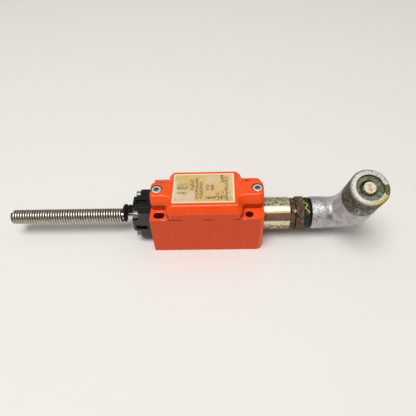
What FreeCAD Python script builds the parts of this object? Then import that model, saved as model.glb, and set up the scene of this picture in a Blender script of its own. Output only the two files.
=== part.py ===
import FreeCAD, Part
import math
import os
import types

import Sketcher

# Wobble stick limit switch with its conduit elbow, in millimetres.
# The origin is the centre of the mounting face. +X runs to the conduit end, -X to the stick, +Z up to the
# cover. The stick, the plunger and the conduit share one axis, parallel to X at axis_height.

DRIVING_SIZES = {
    # Body and cover
    "ear_left_length": 11.0,
    "ear_right_length": 14.0,
    "body_height": 32.4,
    "cover_height": 10.0,
    "cover_roof": 3.0,
    "floor_thickness": 3.0,
    "rim_width": 3.5,
    "bay_setback": 4.3,
    "end_wall": 9.5,
    "axis_rise": 0.2,
    "hole_end_inset": 9.9,
    "slot_end_inset": 6.1,
    "hole_side_inset": 4.5,
    "hole_radius": 2.65,
    "slot_travel": 2.3,
    "ear_half_width": 9.9,
    "slope_width": 3.6,
    "slope_drop": 4.6,
    "corner_fillet": 4.2,
    "heel_fillet": 5.0,
    "ear_root_fillet": 2.2,
    "ear_left_fillet": 3.0,
    "ear_right_fillet": 4.0,
    "crown_corner_fillet": 4.5,
    "crown_fillet": 1.0,
    "crease_reach": 1.2,
    "seal_setback": 0.9,
    "seal_width": 1.2,
    "seal_depth": 1.0,
    "label_margin_left": 4.3,
    "label_margin_right": 5.6,
    "label_margin_side": 2.15,
    "label_thickness": 0.3,
    "cover_screw_inset": 4.1,
    "cover_screw_seat": 4.4,
    "cover_screw_tip_gap": 1.7,
    "cover_screw_radius": 1.95,
    "cover_screw_head": 3.4,
    "cover_screw_socket": 1.85,
    "cover_screw_well_gap": 0.4,
    "screw_rim": 0.3,
    "screw_clearance": 0.3,
    "screw_tip_gap": 0.5,
    # Operating head
    "head_rise": 1.9,
    "gasket_thickness": 0.8,
    "gasket_inset": 0.2,
    "flange_side": 24.0,
    "flange_depth": 8.6,
    "nose_side": 23.0,
    "nose_depth": 4.4,
    "nose_arm": 11.0,
    "grip_slot_height": 4.3,
    "grip_slot_length": 8.0,
    "grip_slot_depth": 2.2,
    "grip_slot_reach": 2.6,
    "head_screw_offset": 9.3,
    "head_screw_radius": 1.45,
    "head_screw_head": 2.65,
    "head_screw_head_height": 3.1,
    "head_screw_grip": 6.0,
    "head_screw_slot_half_width": 0.35,
    "head_screw_slot_depth": 1.0,
    "ball_radius": 4.6,
    "ball_gap": 0.3,
    "pivot_setback": 8.5,
    "rocker_radius": 4.2,
    "rocker_thickness": 1.2,
    "rocker_chamber": 6.5,
    "rocker_play": 1.5,
    "nose_opening": 4.6,
    "socket_mouth": 3.4,
    "pin_radius": 0.6,
    "pin_clearance": 0.05,
    # Stick
    "rod_radius": 1.0,
    "shank_radius": 1.5,
    "shank_slot_gap": 0.15,
    "swing_room": 1.1,
    "spring_radius": 5.25,
    "spring_wire": 1.83,
    "spring_turns": 45,
    "ferrule_length": 10.0,
    "ferrule_clearance": 0.05,
    # Boot
    "boot_length": 8.3,
    "boot_wall": 0.9,
    "boot_collar_radius": 4.7,
    "boot_collar_length": 1.6,
    "boot_ridge_radius": 8.2,
    "boot_second_radius": 7.7,
    "boot_valley_radius": 6.7,
    "boot_neck_radius": 6.5,
    "boot_rod_gap": 0.3,
    "boot_tear_tilt": 42.5,
    "boot_tear_offset": 1.8,
    # Plunger
    "plunger_head_radius": 3.8,
    "plunger_head_thickness": 1.3,
    "plunger_head_setback": 1.3,
    "plunger_radius": 2.0,
    "plunger_clearance": 0.05,
    "bush_radius": 4.0,
    "spring_chamber_radius": 4.6,
    "spring_chamber_depth": 3.5,
    "plunger_spring_radius": 3.4,
    "plunger_spring_wire": 0.5,
    # Contact block
    "block_end_clearance": 1.5,
    "block_side_clearance": 1.0,
    "wiring_room": 8.5,
    "block_rise": 3.6,
    "block_lid": 2.0,
    "chamber_wall": 6.0,
    "chamber_half_width": 9.4,
    "terminal_shelf": 5.6,
    "channel_run": 8.0,
    "channel_wall": 3.0,
    "slider_half_width": 3.0,
    "slider_half_height": 3.0,
    "slider_lead": 3.3,
    "slider_tail": 3.5,
    "slider_clearance": 0.3,
    "window_length": 4.5,
    "window_half_height": 2.0,
    "window_pitch": 6.6,
    "contact_inset": 1.2,
    "bridge_thickness": 0.8,
    "bridge_end_clearance": 1.2,
    "bridge_height": 3.6,
    "blade_gap": 1.2,
    "contact_gap": 1.9,
    "strip_thickness": 0.8,
    "pad_length": 7.2,
    "terminal_inset": 2.6,
    "lid_overlap": 0.2,
    "terminal_screw_radius": 1.45,
    "terminal_screw_head": 2.3,
    "terminal_screw_head_height": 2.2,
    "terminal_screw_length": 8.0,
    "clamp_length": 5.0,
    "clamp_width": 4.4,
    "clamp_thickness": 0.9,
    "block_screw_inset": 2.6,
    "block_screw_side_inset": 2.8,
    "block_screw_bite": 1.8,
    "earth_tap_floor": 1.5,
    "earth_screw_gap": 5.0,
    # Conduit fittings
    "entry_wall": 0.9,
    "nipple_shoulder": 1.45,
    "nipple_length": 19.0,
    "nipple_bore": 7.0,
    "nipple_thread": 9.0,
    "nipple_thread_bite": 7.2,
    "washer_wall": 1.7,
    "washer_thickness": 3.7,
    "locknut_wall": 3.0,
    "locknut_thickness": 5.6,
    "seal_ring_wall": 1.75,
    "seal_ring_length": 5.5,
    "hub_wall": 2.3,
    "hub_length": 9.6,
    "hub_step": 0.9,
    "neck_length": 2.2,
    "elbow_radius": 12.4,
    "elbow_bore": 7.6,
    "elbow_bend": 15.0,
    "outlet_tilt": 24.0,
    "outlet_straight": 13.0,
    "outlet_thread": 9.8,
    "outlet_thread_length": 10.0,
    "gland_wall": 2.2,
    "gland_length": 19.0,
    "gland_lip": 2.0,
    "gland_overhang": 1.3,
    "gland_clearance": 0.05,
    "bushing_clearance": 0.4,
    "bushing_gap": 0.8,
    "cable_radius": 3.8,
    "cable_inside": 4.0,
    "core_radius": 0.7,
    "core_spread": 1.25,
    "core_length": 8.0,
}

document = FreeCAD.newDocument("WobbleStickLimitSwitch")
sheet = document.addObject("Spreadsheet::Sheet", "Sizes")
for row, (alias, number) in enumerate(DRIVING_SIZES.items(), start=1):
    sheet.set(f"A{row}", alias.replace("_", " "))
    sheet.set(f"B{row}", str(number))
    sheet.setAlias(f"B{row}", alias)
document.recompute()


class Size:
    """A number from the sheet that remembers the formula it comes from."""

    def __init__(self, value, formula):
        self.value = value
        self.formula = formula

    def __add__(self, other):
        return Size(self.value + sized(other).value, f"({self.formula} + {sized(other).formula})")

    def __sub__(self, other):
        return Size(self.value - sized(other).value, f"({self.formula} - {sized(other).formula})")

    def __mul__(self, other):
        return Size(self.value * sized(other).value, f"({self.formula} * {sized(other).formula})")

    def __truediv__(self, other):
        return Size(self.value / sized(other).value, f"({self.formula} / {sized(other).formula})")

    def __neg__(self):
        return Size(-self.value, f"(0 - {self.formula})")

    def root(self):
        return Size(math.sqrt(self.value), f"sqrt({self.formula})")

    __radd__ = __add__
    __rmul__ = __mul__


def sized(number):
    """A plain number as a Size, so that both kinds can be bound."""
    if isinstance(number, Size):
        return number
    return Size(float(number), f"({number})")


s = types.SimpleNamespace()
for alias in DRIVING_SIZES:
    setattr(s, alias, Size(float(getattr(sheet, alias)), f"Sizes.{alias}"))


# Helpers for bodies, sketches and features

subparts = []


def bind(feature, path, number):
    """Tie one property of a feature to the sheet."""
    feature.setExpression(path, sized(number).formula)


def new_body(name, x=0, y=0, z=0, tilt=None):
    """A sub-part's body, placed from the sheet and turned about X by tilt."""
    body = document.addObject("PartDesign::Body", name)
    body.Label = name
    if tilt is not None:
        body.Placement.Rotation = FreeCAD.Rotation(FreeCAD.Vector(1, 0, 0), tilt.value)
        bind(body, "Placement.Rotation.Angle", tilt)
    for letter, number in (("x", x), ("y", y), ("z", z)):
        bind(body, f"Placement.Base.{letter}", number)
    subparts.append(body)
    return body


def new_sketch(body, plane, offset=0):
    """A sketch on one of the body's origin planes, moved along the plane's normal."""
    sketch = body.newObject("Sketcher::SketchObject", f"{body.Name}_sketch")
    support = [feature for feature in body.Origin.OriginFeatures if feature.Role == plane][0]
    sketch.AttachmentSupport = [(support, "")]
    sketch.MapMode = "FlatFace"
    bind(sketch, "AttachmentOffset.Base.z", offset)
    return sketch


def place_point(sketch, curve, point, x, y):
    """Fix a sketch point by its two distances from the sketch's origin."""
    for direction, number in (("DistanceX", sized(x)), ("DistanceY", sized(y))):
        constraint = Sketcher.Constraint(direction, -1, 1, curve, point, number.value)
        index = sketch.addConstraint(constraint)
        sketch.setExpression(f"Constraints[{index}]", number.formula)


def draw_outline(sketch, corners):
    """A closed polygon through the given corners."""
    first = sketch.GeometryCount
    count = len(corners)
    vectors = [FreeCAD.Vector(sized(x).value, sized(y).value, 0) for x, y in corners]
    for number in range(count):
        sketch.addGeometry(Part.LineSegment(vectors[number], vectors[(number + 1) % count]), False)
    for number in range(count):
        following = first + (number + 1) % count
        sketch.addConstraint(Sketcher.Constraint("Coincident", first + number, 2, following, 1))
        place_point(sketch, first + number, 1, *corners[number])
    return sketch


def draw_arc(sketch, x, y, radius, quarter):
    """A quarter circle about (x, y), anticlockwise from the given number of quarter turns."""
    circle = Part.Circle(FreeCAD.Vector(sized(x).value, sized(y).value, 0), FreeCAD.Vector(0, 0, 1), radius.value)
    start = quarter * math.pi / 2
    arc = sketch.addGeometry(Part.ArcOfCircle(circle, start, start + math.pi / 2), False)
    index = sketch.addConstraint(Sketcher.Constraint("Radius", arc, radius.value))
    sketch.setExpression(f"Constraints[{index}]", radius.formula)
    return arc


def draw_rounded(sketch, corners):
    """An anticlockwise outline of level and upright lines through (x, y, radius) corners, each one rounded."""
    count = len(corners)
    steps = []
    for number in range(count):
        here, there = corners[number], corners[(number + 1) % count]
        run = [sized(there[axis]).value - sized(here[axis]).value for axis in (0, 1)]
        steps.append([round(part / max(abs(part) for part in run)) for part in run])
    lines = []
    for number in range(count):
        x, y, radius = corners[number]
        next_x, next_y, next_radius = corners[(number + 1) % count]
        ahead, up = steps[number]
        start = (x + radius * ahead, y + radius * up)
        end = (next_x - next_radius * ahead, next_y - next_radius * up)
        ends = [FreeCAD.Vector(point[0].value, point[1].value, 0) for point in (start, end)]
        line = sketch.addGeometry(Part.LineSegment(*ends), False)
        place_point(sketch, line, 1, *start)
        place_point(sketch, line, 2, *end)
        lines.append(line)
    for number in range(count):
        x, y, radius = corners[number]
        before, after = steps[number - 1], steps[number]
        turns_left = before[0] * after[1] - before[1] * after[0] > 0
        centre_x = x + radius * (after[0] - before[0])
        centre_y = y + radius * (after[1] - before[1])
        away = [-part for part in after] if turns_left else before
        quarter = round(math.atan2(away[1], away[0]) / (math.pi / 2))
        arc = draw_arc(sketch, centre_x, centre_y, radius, quarter)
        arc_start, arc_end = (1, 2) if turns_left else (2, 1)
        sketch.addConstraint(Sketcher.Constraint("Coincident", lines[number - 1], 2, arc, arc_start))
        sketch.addConstraint(Sketcher.Constraint("Coincident", arc, arc_end, lines[number], 1))
    return sketch


def draw_box(sketch, left, right, low, high):
    return draw_outline(sketch, [(left, low), (right, low), (right, high), (left, high)])


def draw_circle(sketch, x, y, radius):
    centre = FreeCAD.Vector(sized(x).value, sized(y).value, 0)
    curve = sketch.addGeometry(Part.Circle(centre, FreeCAD.Vector(0, 0, 1), sized(radius).value), False)
    index = sketch.addConstraint(Sketcher.Constraint("Radius", curve, sized(radius).value))
    sketch.setExpression(f"Constraints[{index}]", sized(radius).formula)
    place_point(sketch, curve, 3, x, y)
    return sketch


def hexagon(x, y, corner_radius):
    """Corners of a regular hexagon with two of its corners on the X direction."""
    half_height = corner_radius * math.sqrt(0.75)
    half = corner_radius / 2
    return [
        (x + corner_radius, y),
        (x + half, y + half_height),
        (x - half, y + half_height),
        (x - corner_radius, y),
        (x - half, y - half_height),
        (x + half, y - half_height),
    ]


def finish_feature(body, feature, adds):
    """Recompute, and make sure that the feature really added or removed something."""
    before = body.Shape.Volume if not body.Shape.isNull() else 0.0
    document.recompute()
    change = body.Shape.Volume - before
    if (change > 0) != adds or abs(change) < 1e-6:
        raise RuntimeError(f"{body.Name}: {feature.Name} changed the volume by {change:.4f}")
    return feature


def pad(body, sketch, length, reverse=False):
    feature = body.newObject("PartDesign::Pad", f"{body.Name}_pad")
    feature.Profile = sketch
    feature.Reversed = reverse
    bind(feature, "Length", length)
    return finish_feature(body, feature, adds=True)


def pocket(body, sketch, length):
    """Cut along the sketch's own normal."""
    feature = body.newObject("PartDesign::Pocket", f"{body.Name}_pocket")
    feature.Profile = sketch
    feature.Reversed = True
    bind(feature, "Length", length)
    return finish_feature(body, feature, adds=False)


def loft(body, lower, upper):
    """Straight-ruled faces from one outline up to another."""
    feature = body.newObject("PartDesign::AdditiveLoft", f"{body.Name}_loft")
    feature.Profile = lower
    feature.Sections = [upper]
    feature.Ruled = True
    return finish_feature(body, feature, adds=True)


def revolve(body, sketch, axis="H_Axis", angle=360, cut=False):
    """Turn a sketch about one of its own axes."""
    kind = "PartDesign::Groove" if cut else "PartDesign::Revolution"
    feature = body.newObject(kind, f"{body.Name}_turn")
    feature.Profile = sketch
    feature.ReferenceAxis = (sketch, [axis])
    feature.Angle = angle
    return finish_feature(body, feature, adds=not cut)


def round_edges(body, radius, wanted):
    """Fillet the edges of the tip for which wanted(edge) is true."""
    tip = body.Tip
    names = [f"Edge{number}" for number, edge in enumerate(tip.Shape.Edges, start=1) if wanted(edge)]
    feature = body.newObject("PartDesign::Fillet", f"{body.Name}_fillet")
    feature.Base = (tip, names)
    bind(feature, "Radius", radius)
    document.recompute()
    return feature


def turned(name, profile, x=0, height=None):
    """A piece turned about the common axis, from a list of (x, radius) corners."""
    body = new_body(name, x=x, z=axis_height if height is None else height)
    revolve(body, draw_outline(new_sketch(body, "XZ_Plane"), profile))
    return body


def lies_at(height):
    """A test for edges that lie level at the given height."""
    return lambda edge: edge.BoundBox.ZLength < 1e-4 and abs(edge.BoundBox.ZMax - height.value) < 1e-4


# Sizes that follow from the driving ones. The contact block's parts add up to the block, the block sets the
# cavity, and the cavity, its walls and the two ears set the body.

chamber_length = s.contact_inset * 2 + s.strip_thickness * 2 + s.window_pitch + s.window_length + s.contact_gap
block_length = s.chamber_wall + chamber_length + s.channel_run + s.channel_wall
block_half_width = s.chamber_half_width + s.terminal_shelf
crown_length = s.rim_width * 2 + s.block_end_clearance + block_length + s.wiring_room
body_length = s.ear_left_length + crown_length + s.ear_right_length
half_length = body_length / 2
half_width = block_half_width + s.block_side_clearance + s.rim_width
crown_left = half_length - s.ear_left_length
crown_right = half_length - s.ear_right_length
crown_half_width = half_width - s.slope_width
bay_half_width = s.ear_half_width - s.bay_setback

axis_height = s.body_height / 2 + s.axis_rise
head_level = axis_height + s.head_rise
cover_top = s.body_height + s.cover_height
slope_foot = cover_top - s.slope_drop
entry_radius = s.nipple_thread + s.entry_wall
screw_seat_level = cover_top - s.cover_screw_seat
cover_screw_length = screw_seat_level - axis_height - entry_radius - s.cover_screw_tip_gap
cover_screw_x = half_length - s.cover_screw_inset

hole_half_wide = half_width - s.hole_side_inset
slot_x = s.slot_end_inset - half_length
hole_x = half_length - s.hole_end_inset

head_back = -half_length - s.gasket_thickness
flange_front = head_back - s.flange_depth
nose_front = flange_front - s.nose_depth
pivot_x = -half_length - s.pivot_setback
boot_left = nose_front - s.boot_length


def plus_corners(grow):
    """The cavity's plan, a centre bay with two narrow end bays, grown outward all round."""
    far_left = s.end_wall - half_length - grow
    far_right = half_length - s.end_wall + grow
    left = s.rim_width - crown_left - grow
    right = crown_right - s.rim_width + grow
    wide = half_width - s.rim_width + grow
    narrow = bay_half_width + grow
    return [
        (far_left, -narrow), (left, -narrow), (left, -wide), (right, -wide),
        (right, -narrow), (far_right, -narrow), (far_right, narrow), (right, narrow),
        (right, wide), (left, wide), (left, narrow), (far_left, narrow),
    ]


def seal_ring(sketch):
    draw_outline(sketch, plus_corners(s.seal_setback))
    draw_outline(sketch, plus_corners(s.seal_setback + s.seal_width))
    return sketch


# Housing: die-cast box with a plus-shaped cavity, two round and two slotted mounting holes through its corner
# posts, the plunger's bore and spring chamber at the left and the conduit entry at the right.

housing = new_body("housing")
pad(housing, draw_box(new_sketch(housing, "XY_Plane"), -half_length, half_length, -half_width, half_width),
    s.body_height)
round_edges(housing, s.corner_fillet,
            lambda edge: edge.BoundBox.XMin > half_length.value - 1e-3
            and edge.BoundBox.ZLength > s.body_height.value / 2)
heel = new_sketch(housing, "XZ_Plane", -half_width)
heel_left = half_length - s.heel_fillet
heel_corners = [(heel_left, sized(0)), (half_length, sized(0)), (half_length, s.heel_fillet)]
heel_points = [FreeCAD.Vector(x.value, z.value, 0) for x, z in heel_corners]
heel_bottom = heel.addGeometry(Part.LineSegment(heel_points[0], heel_points[1]), False)
heel_end = heel.addGeometry(Part.LineSegment(heel_points[1], heel_points[2]), False)
heel_arc = draw_arc(heel, heel_left, s.heel_fillet, s.heel_fillet, -1)
place_point(heel, heel_bottom, 1, *heel_corners[0])
place_point(heel, heel_bottom, 2, *heel_corners[1])
place_point(heel, heel_end, 2, *heel_corners[2])
heel.addConstraint(Sketcher.Constraint("Coincident", heel_bottom, 2, heel_end, 1))
heel.addConstraint(Sketcher.Constraint("Coincident", heel_end, 2, heel_arc, 2))
heel.addConstraint(Sketcher.Constraint("Coincident", heel_arc, 1, heel_bottom, 1))
pocket(housing, heel, half_width * 2)
pocket(housing, draw_outline(new_sketch(housing, "XY_Plane", s.floor_thickness), plus_corners(0)),
       s.body_height)
pocket(housing, seal_ring(new_sketch(housing, "XY_Plane", s.body_height - s.seal_depth)), s.seal_depth)
holes = new_sketch(housing, "XY_Plane")
for side in (-1, 1):
    draw_circle(holes, hole_x, hole_half_wide * side, s.hole_radius)
pocket(housing, holes, s.body_height)
slot_straight = new_sketch(housing, "XY_Plane")
for side in (-1, 1):
    row = hole_half_wide * side
    draw_box(slot_straight, slot_x - s.slot_travel / 2, slot_x + s.slot_travel / 2,
             row - s.hole_radius, row + s.hole_radius)
pocket(housing, slot_straight, s.body_height)
for end in (-1, 1):
    slot_ends = new_sketch(housing, "XY_Plane")
    for side in (-1, 1):
        draw_circle(slot_ends, slot_x + s.slot_travel / 2 * end, hole_half_wide * side, s.hole_radius)
    pocket(housing, slot_ends, s.body_height)
pocket(housing, draw_circle(new_sketch(housing, "YZ_Plane", -half_length), 0, axis_height, s.bush_radius),
       s.end_wall)
pocket(housing, draw_circle(new_sketch(housing, "YZ_Plane", -half_length), 0, axis_height,
                            s.spring_chamber_radius), s.spring_chamber_depth)
pocket(housing, draw_circle(new_sketch(housing, "YZ_Plane", half_length - s.end_wall), 0, axis_height,
                            entry_radius), s.end_wall)
head_taps = new_sketch(housing, "YZ_Plane", -half_length)
for across in (-1, 1):
    for up in (-1, 1):
        draw_circle(head_taps, s.head_screw_offset * across, head_level + s.head_screw_offset * up,
                    s.head_screw_radius)
pocket(housing, head_taps, s.head_screw_grip)
cover_tap_depth = cover_screw_length - (s.cover_height - s.cover_screw_seat) + s.screw_tip_gap
cover_taps = new_sketch(housing, "XY_Plane", s.body_height - cover_tap_depth)
for side in (-1, 1):
    draw_circle(cover_taps, cover_screw_x * side, 0, s.cover_screw_radius)
pocket(housing, cover_taps, cover_tap_depth)

block_start = s.rim_width + s.block_end_clearance - crown_left
block_end = block_start + block_length
block_screw_row = s.chamber_half_width + s.block_screw_side_inset
block_screw_left = block_start + s.block_screw_inset
block_screw_right = block_end - s.block_screw_inset
block_screw_places = [(block_screw_left, block_screw_row), (block_screw_right, -block_screw_row)]
earth_screw_x = block_end + s.earth_screw_gap
floor_taps = new_sketch(housing, "XY_Plane", s.floor_thickness - s.block_screw_bite)
for x, y in block_screw_places:
    draw_circle(floor_taps, x, y, s.terminal_screw_radius)
pocket(housing, floor_taps, s.block_screw_bite)
earth_boss_height = s.floor_thickness
earth_top = s.floor_thickness + earth_boss_height
pad(housing, draw_circle(new_sketch(housing, "XY_Plane", s.floor_thickness), earth_screw_x,
                         -block_screw_row, s.terminal_screw_head), earth_boss_height)
pocket(housing, draw_circle(new_sketch(housing, "XY_Plane", s.earth_tap_floor), earth_screw_x,
                            -block_screw_row, s.terminal_screw_radius), earth_top)

# Cover: die-cast, flat crown between two narrower ears that are flush with it. Upright sides turn into slopes
# all round except at the two far ends, over a band that softens the crease, and the corners over the mounting
# holes are open.


def cover_plan(height, inset):
    """The cover's outline at one height, drawn in by inset except at the far ends."""
    ear = s.ear_half_width - inset
    wide = half_width - inset
    left, right = inset - crown_left, crown_right - inset
    root = s.ear_root_fillet + inset
    corner = s.crown_corner_fillet - inset
    front = [
        (-half_length, -ear, s.ear_left_fillet), (left, -ear, root), (left, -wide, corner),
        (right, -wide, corner), (right, -ear, root), (half_length, -ear, s.ear_right_fillet),
    ]
    back = [(x, -y, radius) for x, y, radius in reversed(front)]
    return draw_rounded(new_sketch(cover, "XY_Plane", height), front + back)


cover = new_body("cover")
crease_low, crease_high = slope_foot - s.crease_reach, slope_foot + s.crease_reach
crease_inset = s.slope_width * s.crease_reach / s.slope_drop
pad(cover, cover_plan(s.body_height, sized(0)), crease_low - s.body_height)
loft(cover, cover_plan(crease_low, sized(0)), cover_plan(crease_high, crease_inset))
loft(cover, cover_plan(crease_high, crease_inset), cover_plan(cover_top, s.slope_width))
round_edges(cover, s.crown_fillet, lies_at(cover_top))
pocket(cover, draw_outline(new_sketch(cover, "XY_Plane", s.body_height), plus_corners(0)),
       s.cover_height - s.cover_roof)
screw_holes = new_sketch(cover, "XY_Plane", s.body_height)
screw_wells = new_sketch(cover, "XY_Plane", cover_top - s.cover_screw_seat)
for side in (-1, 1):
    draw_circle(screw_holes, cover_screw_x * side, 0, s.cover_screw_radius + s.screw_clearance)
    draw_circle(screw_wells, cover_screw_x * side, 0, s.cover_screw_head + s.cover_screw_well_gap)
pocket(cover, screw_holes, s.cover_height)
pocket(cover, screw_wells, s.cover_screw_seat)

cover_seal = new_body("cover_seal")
pad(cover_seal, seal_ring(new_sketch(cover_seal, "XY_Plane", s.body_height - s.seal_depth)), s.seal_depth)

nameplate = new_body("nameplate")
label_half_width = crown_half_width - s.label_margin_side
pad(nameplate, draw_box(new_sketch(nameplate, "XY_Plane", cover_top),
                        s.label_margin_left - crown_left, crown_right - s.label_margin_right,
                        -label_half_width, label_half_width), s.label_thickness)

for name, side in (("cover_screw_left", -1), ("cover_screw_right", 1)):
    screw = new_body(name, x=cover_screw_x * side, z=cover_top - s.cover_screw_seat)
    revolve(screw, draw_outline(new_sketch(screw, "XZ_Plane"), [
        (0, -cover_screw_length), (s.cover_screw_radius, -cover_screw_length), (s.cover_screw_radius, 0),
        (s.cover_screw_head, 0), (s.cover_screw_head, s.cover_screw_seat - s.screw_rim * 2),
        (s.cover_screw_head - s.screw_rim, s.cover_screw_seat - s.screw_rim),
        (0, s.cover_screw_seat - s.screw_rim),
    ]), axis="V_Axis")
    pocket(screw, draw_outline(new_sketch(screw, "XY_Plane", s.cover_screw_seat / 2),
                               hexagon(sized(0), sized(0), s.cover_screw_socket)), s.cover_screw_seat)

# Operating head: gasket, square flange and cross-shaped nose, held by four cheese-head screws in the notches of
# the nose. The socket for the swivel ball is on the common axis, a little below the middle of the flange.

screw_corners = [
    (s.head_screw_offset * across, head_level + s.head_screw_offset * up)
    for up in (1, -1) for across in (-1, 1)
]


def flange_outline(sketch, side):
    return draw_box(sketch, -side / 2, side / 2, head_level - side / 2, head_level + side / 2)


head_gasket = new_body("head_gasket")
gasket_plan = flange_outline(new_sketch(head_gasket, "YZ_Plane", head_back),
                             s.flange_side - s.gasket_inset * 2)
draw_circle(gasket_plan, 0, axis_height, s.rocker_chamber)
for y, z in screw_corners:
    draw_circle(gasket_plan, y, z, s.head_screw_radius + s.screw_clearance)
pad(head_gasket, gasket_plan, s.gasket_thickness)

head_housing = new_body("head_housing")
pad(head_housing, flange_outline(new_sketch(head_housing, "YZ_Plane", flange_front), s.flange_side),
    s.flange_depth)
nose = new_sketch(head_housing, "YZ_Plane", nose_front)
wide, arm, level = s.nose_side / 2, s.nose_arm / 2, head_level
draw_outline(nose, [
    (-wide, level - arm), (-arm, level - arm), (-arm, level - wide), (arm, level - wide),
    (arm, level - arm), (wide, level - arm), (wide, level + arm), (arm, level + arm),
    (arm, level + wide), (-arm, level + wide), (-arm, level + arm), (-wide, level + arm),
])
pad(head_housing, nose, s.nose_depth)
grip_slots = new_sketch(head_housing, "YZ_Plane", flange_front - s.grip_slot_reach)
half_flange = s.flange_side / 2
grip = s.grip_slot_height / 2
for side in (-1, 1):
    outer, inner = half_flange * side, (half_flange - s.grip_slot_depth) * side
    draw_box(grip_slots, inner, outer, axis_height - grip, axis_height + grip)
    draw_box(grip_slots, -grip, grip, head_level + inner, head_level + outer)
pocket(head_housing, grip_slots, s.grip_slot_length)
screw_passages = new_sketch(head_housing, "YZ_Plane", flange_front)
for y, z in screw_corners:
    draw_circle(screw_passages, y, z, s.head_screw_radius + s.screw_clearance)
pocket(head_housing, screw_passages, s.flange_depth)
socket = s.ball_radius + s.ball_gap
rocker_room = s.pivot_setback - s.gasket_thickness - s.ball_radius + s.rocker_play
mouth_x = -(socket * socket - s.socket_mouth * s.socket_mouth).root()
mid_x = mouth_x / 2
mid_radius = (socket * socket - mid_x * mid_x).root()
bore = new_sketch(head_housing, "XZ_Plane")
draw_outline(bore, [
    (head_back, axis_height), (head_back, axis_height + s.rocker_chamber),
    (head_back - rocker_room, axis_height + s.rocker_chamber), (head_back - rocker_room, axis_height + socket),
    (pivot_x, axis_height + socket), (pivot_x + mid_x, axis_height + mid_radius),
    (pivot_x + mouth_x, axis_height + s.socket_mouth), (nose_front, axis_height + s.nose_opening),
    (nose_front, axis_height),
])
axis_line = bore.addGeometry(Part.LineSegment(FreeCAD.Vector(head_back.value, axis_height.value, 0),
                                              FreeCAD.Vector(nose_front.value, axis_height.value, 0)), True)
place_point(bore, axis_line, 1, head_back, axis_height)
place_point(bore, axis_line, 2, nose_front, axis_height)
revolve(head_housing, bore, axis="Axis0", cut=True)

for number, (y, z) in enumerate(screw_corners, start=1):
    screw = new_body(f"head_screw_{number}", x=flange_front, y=y, z=z)
    shank = s.flange_depth + s.gasket_thickness + s.head_screw_grip - s.screw_tip_gap
    revolve(screw, draw_outline(new_sketch(screw, "XZ_Plane"), [
        (-s.head_screw_head_height, 0), (-s.head_screw_head_height, s.head_screw_head - s.screw_rim),
        (s.screw_rim - s.head_screw_head_height, s.head_screw_head), (0, s.head_screw_head),
        (0, s.head_screw_radius), (shank, s.head_screw_radius), (shank, 0),
    ]))
    pocket(screw, draw_box(new_sketch(screw, "YZ_Plane", -s.head_screw_head_height),
                           -s.head_screw_head, s.head_screw_head, -s.head_screw_slot_half_width,
                           s.head_screw_slot_half_width), s.head_screw_slot_depth)

# Swivel ball: turns about Z in the head's socket. Its slot lets the rod's shank tilt about the cross pin.

slot_half_width = s.shank_radius + s.shank_slot_gap
slot_half_height = s.shank_radius + s.swing_room
swivel_ball = new_body("swivel_ball", x=pivot_x, z=axis_height)
ball_profile = new_sketch(swivel_ball, "XZ_Plane")
arc = ball_profile.addGeometry(Part.ArcOfCircle(
    Part.Circle(FreeCAD.Vector(0, 0, 0), FreeCAD.Vector(0, 0, 1), s.ball_radius.value), 0, math.pi), False)
chord = ball_profile.addGeometry(Part.LineSegment(FreeCAD.Vector(-s.ball_radius.value, 0, 0),
                                                  FreeCAD.Vector(s.ball_radius.value, 0, 0)), False)
ball_profile.addConstraint(Sketcher.Constraint("Coincident", arc, 3, -1, 1))
ball_profile.addConstraint(Sketcher.Constraint("Coincident", arc, 2, chord, 1))
ball_profile.addConstraint(Sketcher.Constraint("Coincident", arc, 1, chord, 2))
ball_profile.addConstraint(Sketcher.Constraint("PointOnObject", chord, 1, -1))
ball_profile.addConstraint(Sketcher.Constraint("PointOnObject", chord, 2, -1))
radius_index = ball_profile.addConstraint(Sketcher.Constraint("Radius", arc, s.ball_radius.value))
ball_profile.setExpression(f"Constraints[{radius_index}]", s.ball_radius.formula)
revolve(swivel_ball, ball_profile)
pocket(swivel_ball, draw_box(new_sketch(swivel_ball, "YZ_Plane", -s.ball_radius),
                             -slot_half_width, slot_half_width, -slot_half_height, slot_half_height),
       s.ball_radius * 2)
pocket(swivel_ball, draw_circle(new_sketch(swivel_ball, "XZ_Plane", -s.ball_radius), 0, 0,
                                s.pin_radius + s.pin_clearance), s.ball_radius * 2)

pin_half_length = s.ball_radius * 0.93
cross_pin = new_body("cross_pin", x=pivot_x, z=axis_height)
pad(cross_pin, draw_circle(new_sketch(cross_pin, "XZ_Plane", -pin_half_length), 0, 0, s.pin_radius),
    pin_half_length * 2)

# Stick: rod with a thicker shank that carries the rocker disc, ferrule and close-wound spring

rocker_front = pivot_x + s.ball_radius + s.ball_gap
rocker_back = rocker_front + s.rocker_thickness
rod_left = boot_left - s.ferrule_length
stick_rod = turned("stick_rod", [
    (rod_left, 0), (rod_left, s.rod_radius),
    (pivot_x - s.ball_radius, s.rod_radius), (pivot_x - s.ball_radius + 0.5, s.shank_radius),
    (rocker_back, s.shank_radius), (rocker_back, 0),
])
pocket(stick_rod, draw_circle(new_sketch(stick_rod, "XZ_Plane", -s.shank_radius * 2), pivot_x, 0,
                              s.pin_radius), s.shank_radius * 4)
turned("rocker_disc", [
    (rocker_front, s.shank_radius), (rocker_back, s.shank_radius), (rocker_back, s.rocker_radius - 0.3),
    (rocker_back - 0.3, s.rocker_radius), (rocker_front, s.rocker_radius),
])

spring_bore = s.spring_radius - s.spring_wire
turned("stick_ferrule", [
    (rod_left, s.rod_radius), (boot_left - 0.2, s.rod_radius),
    (boot_left - 0.2, spring_bore - s.ferrule_clearance), (rod_left, spring_bore - s.ferrule_clearance),
])


VALLEY_SHARE = 0.32
TAPERED_TURNS = 1.6


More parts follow.
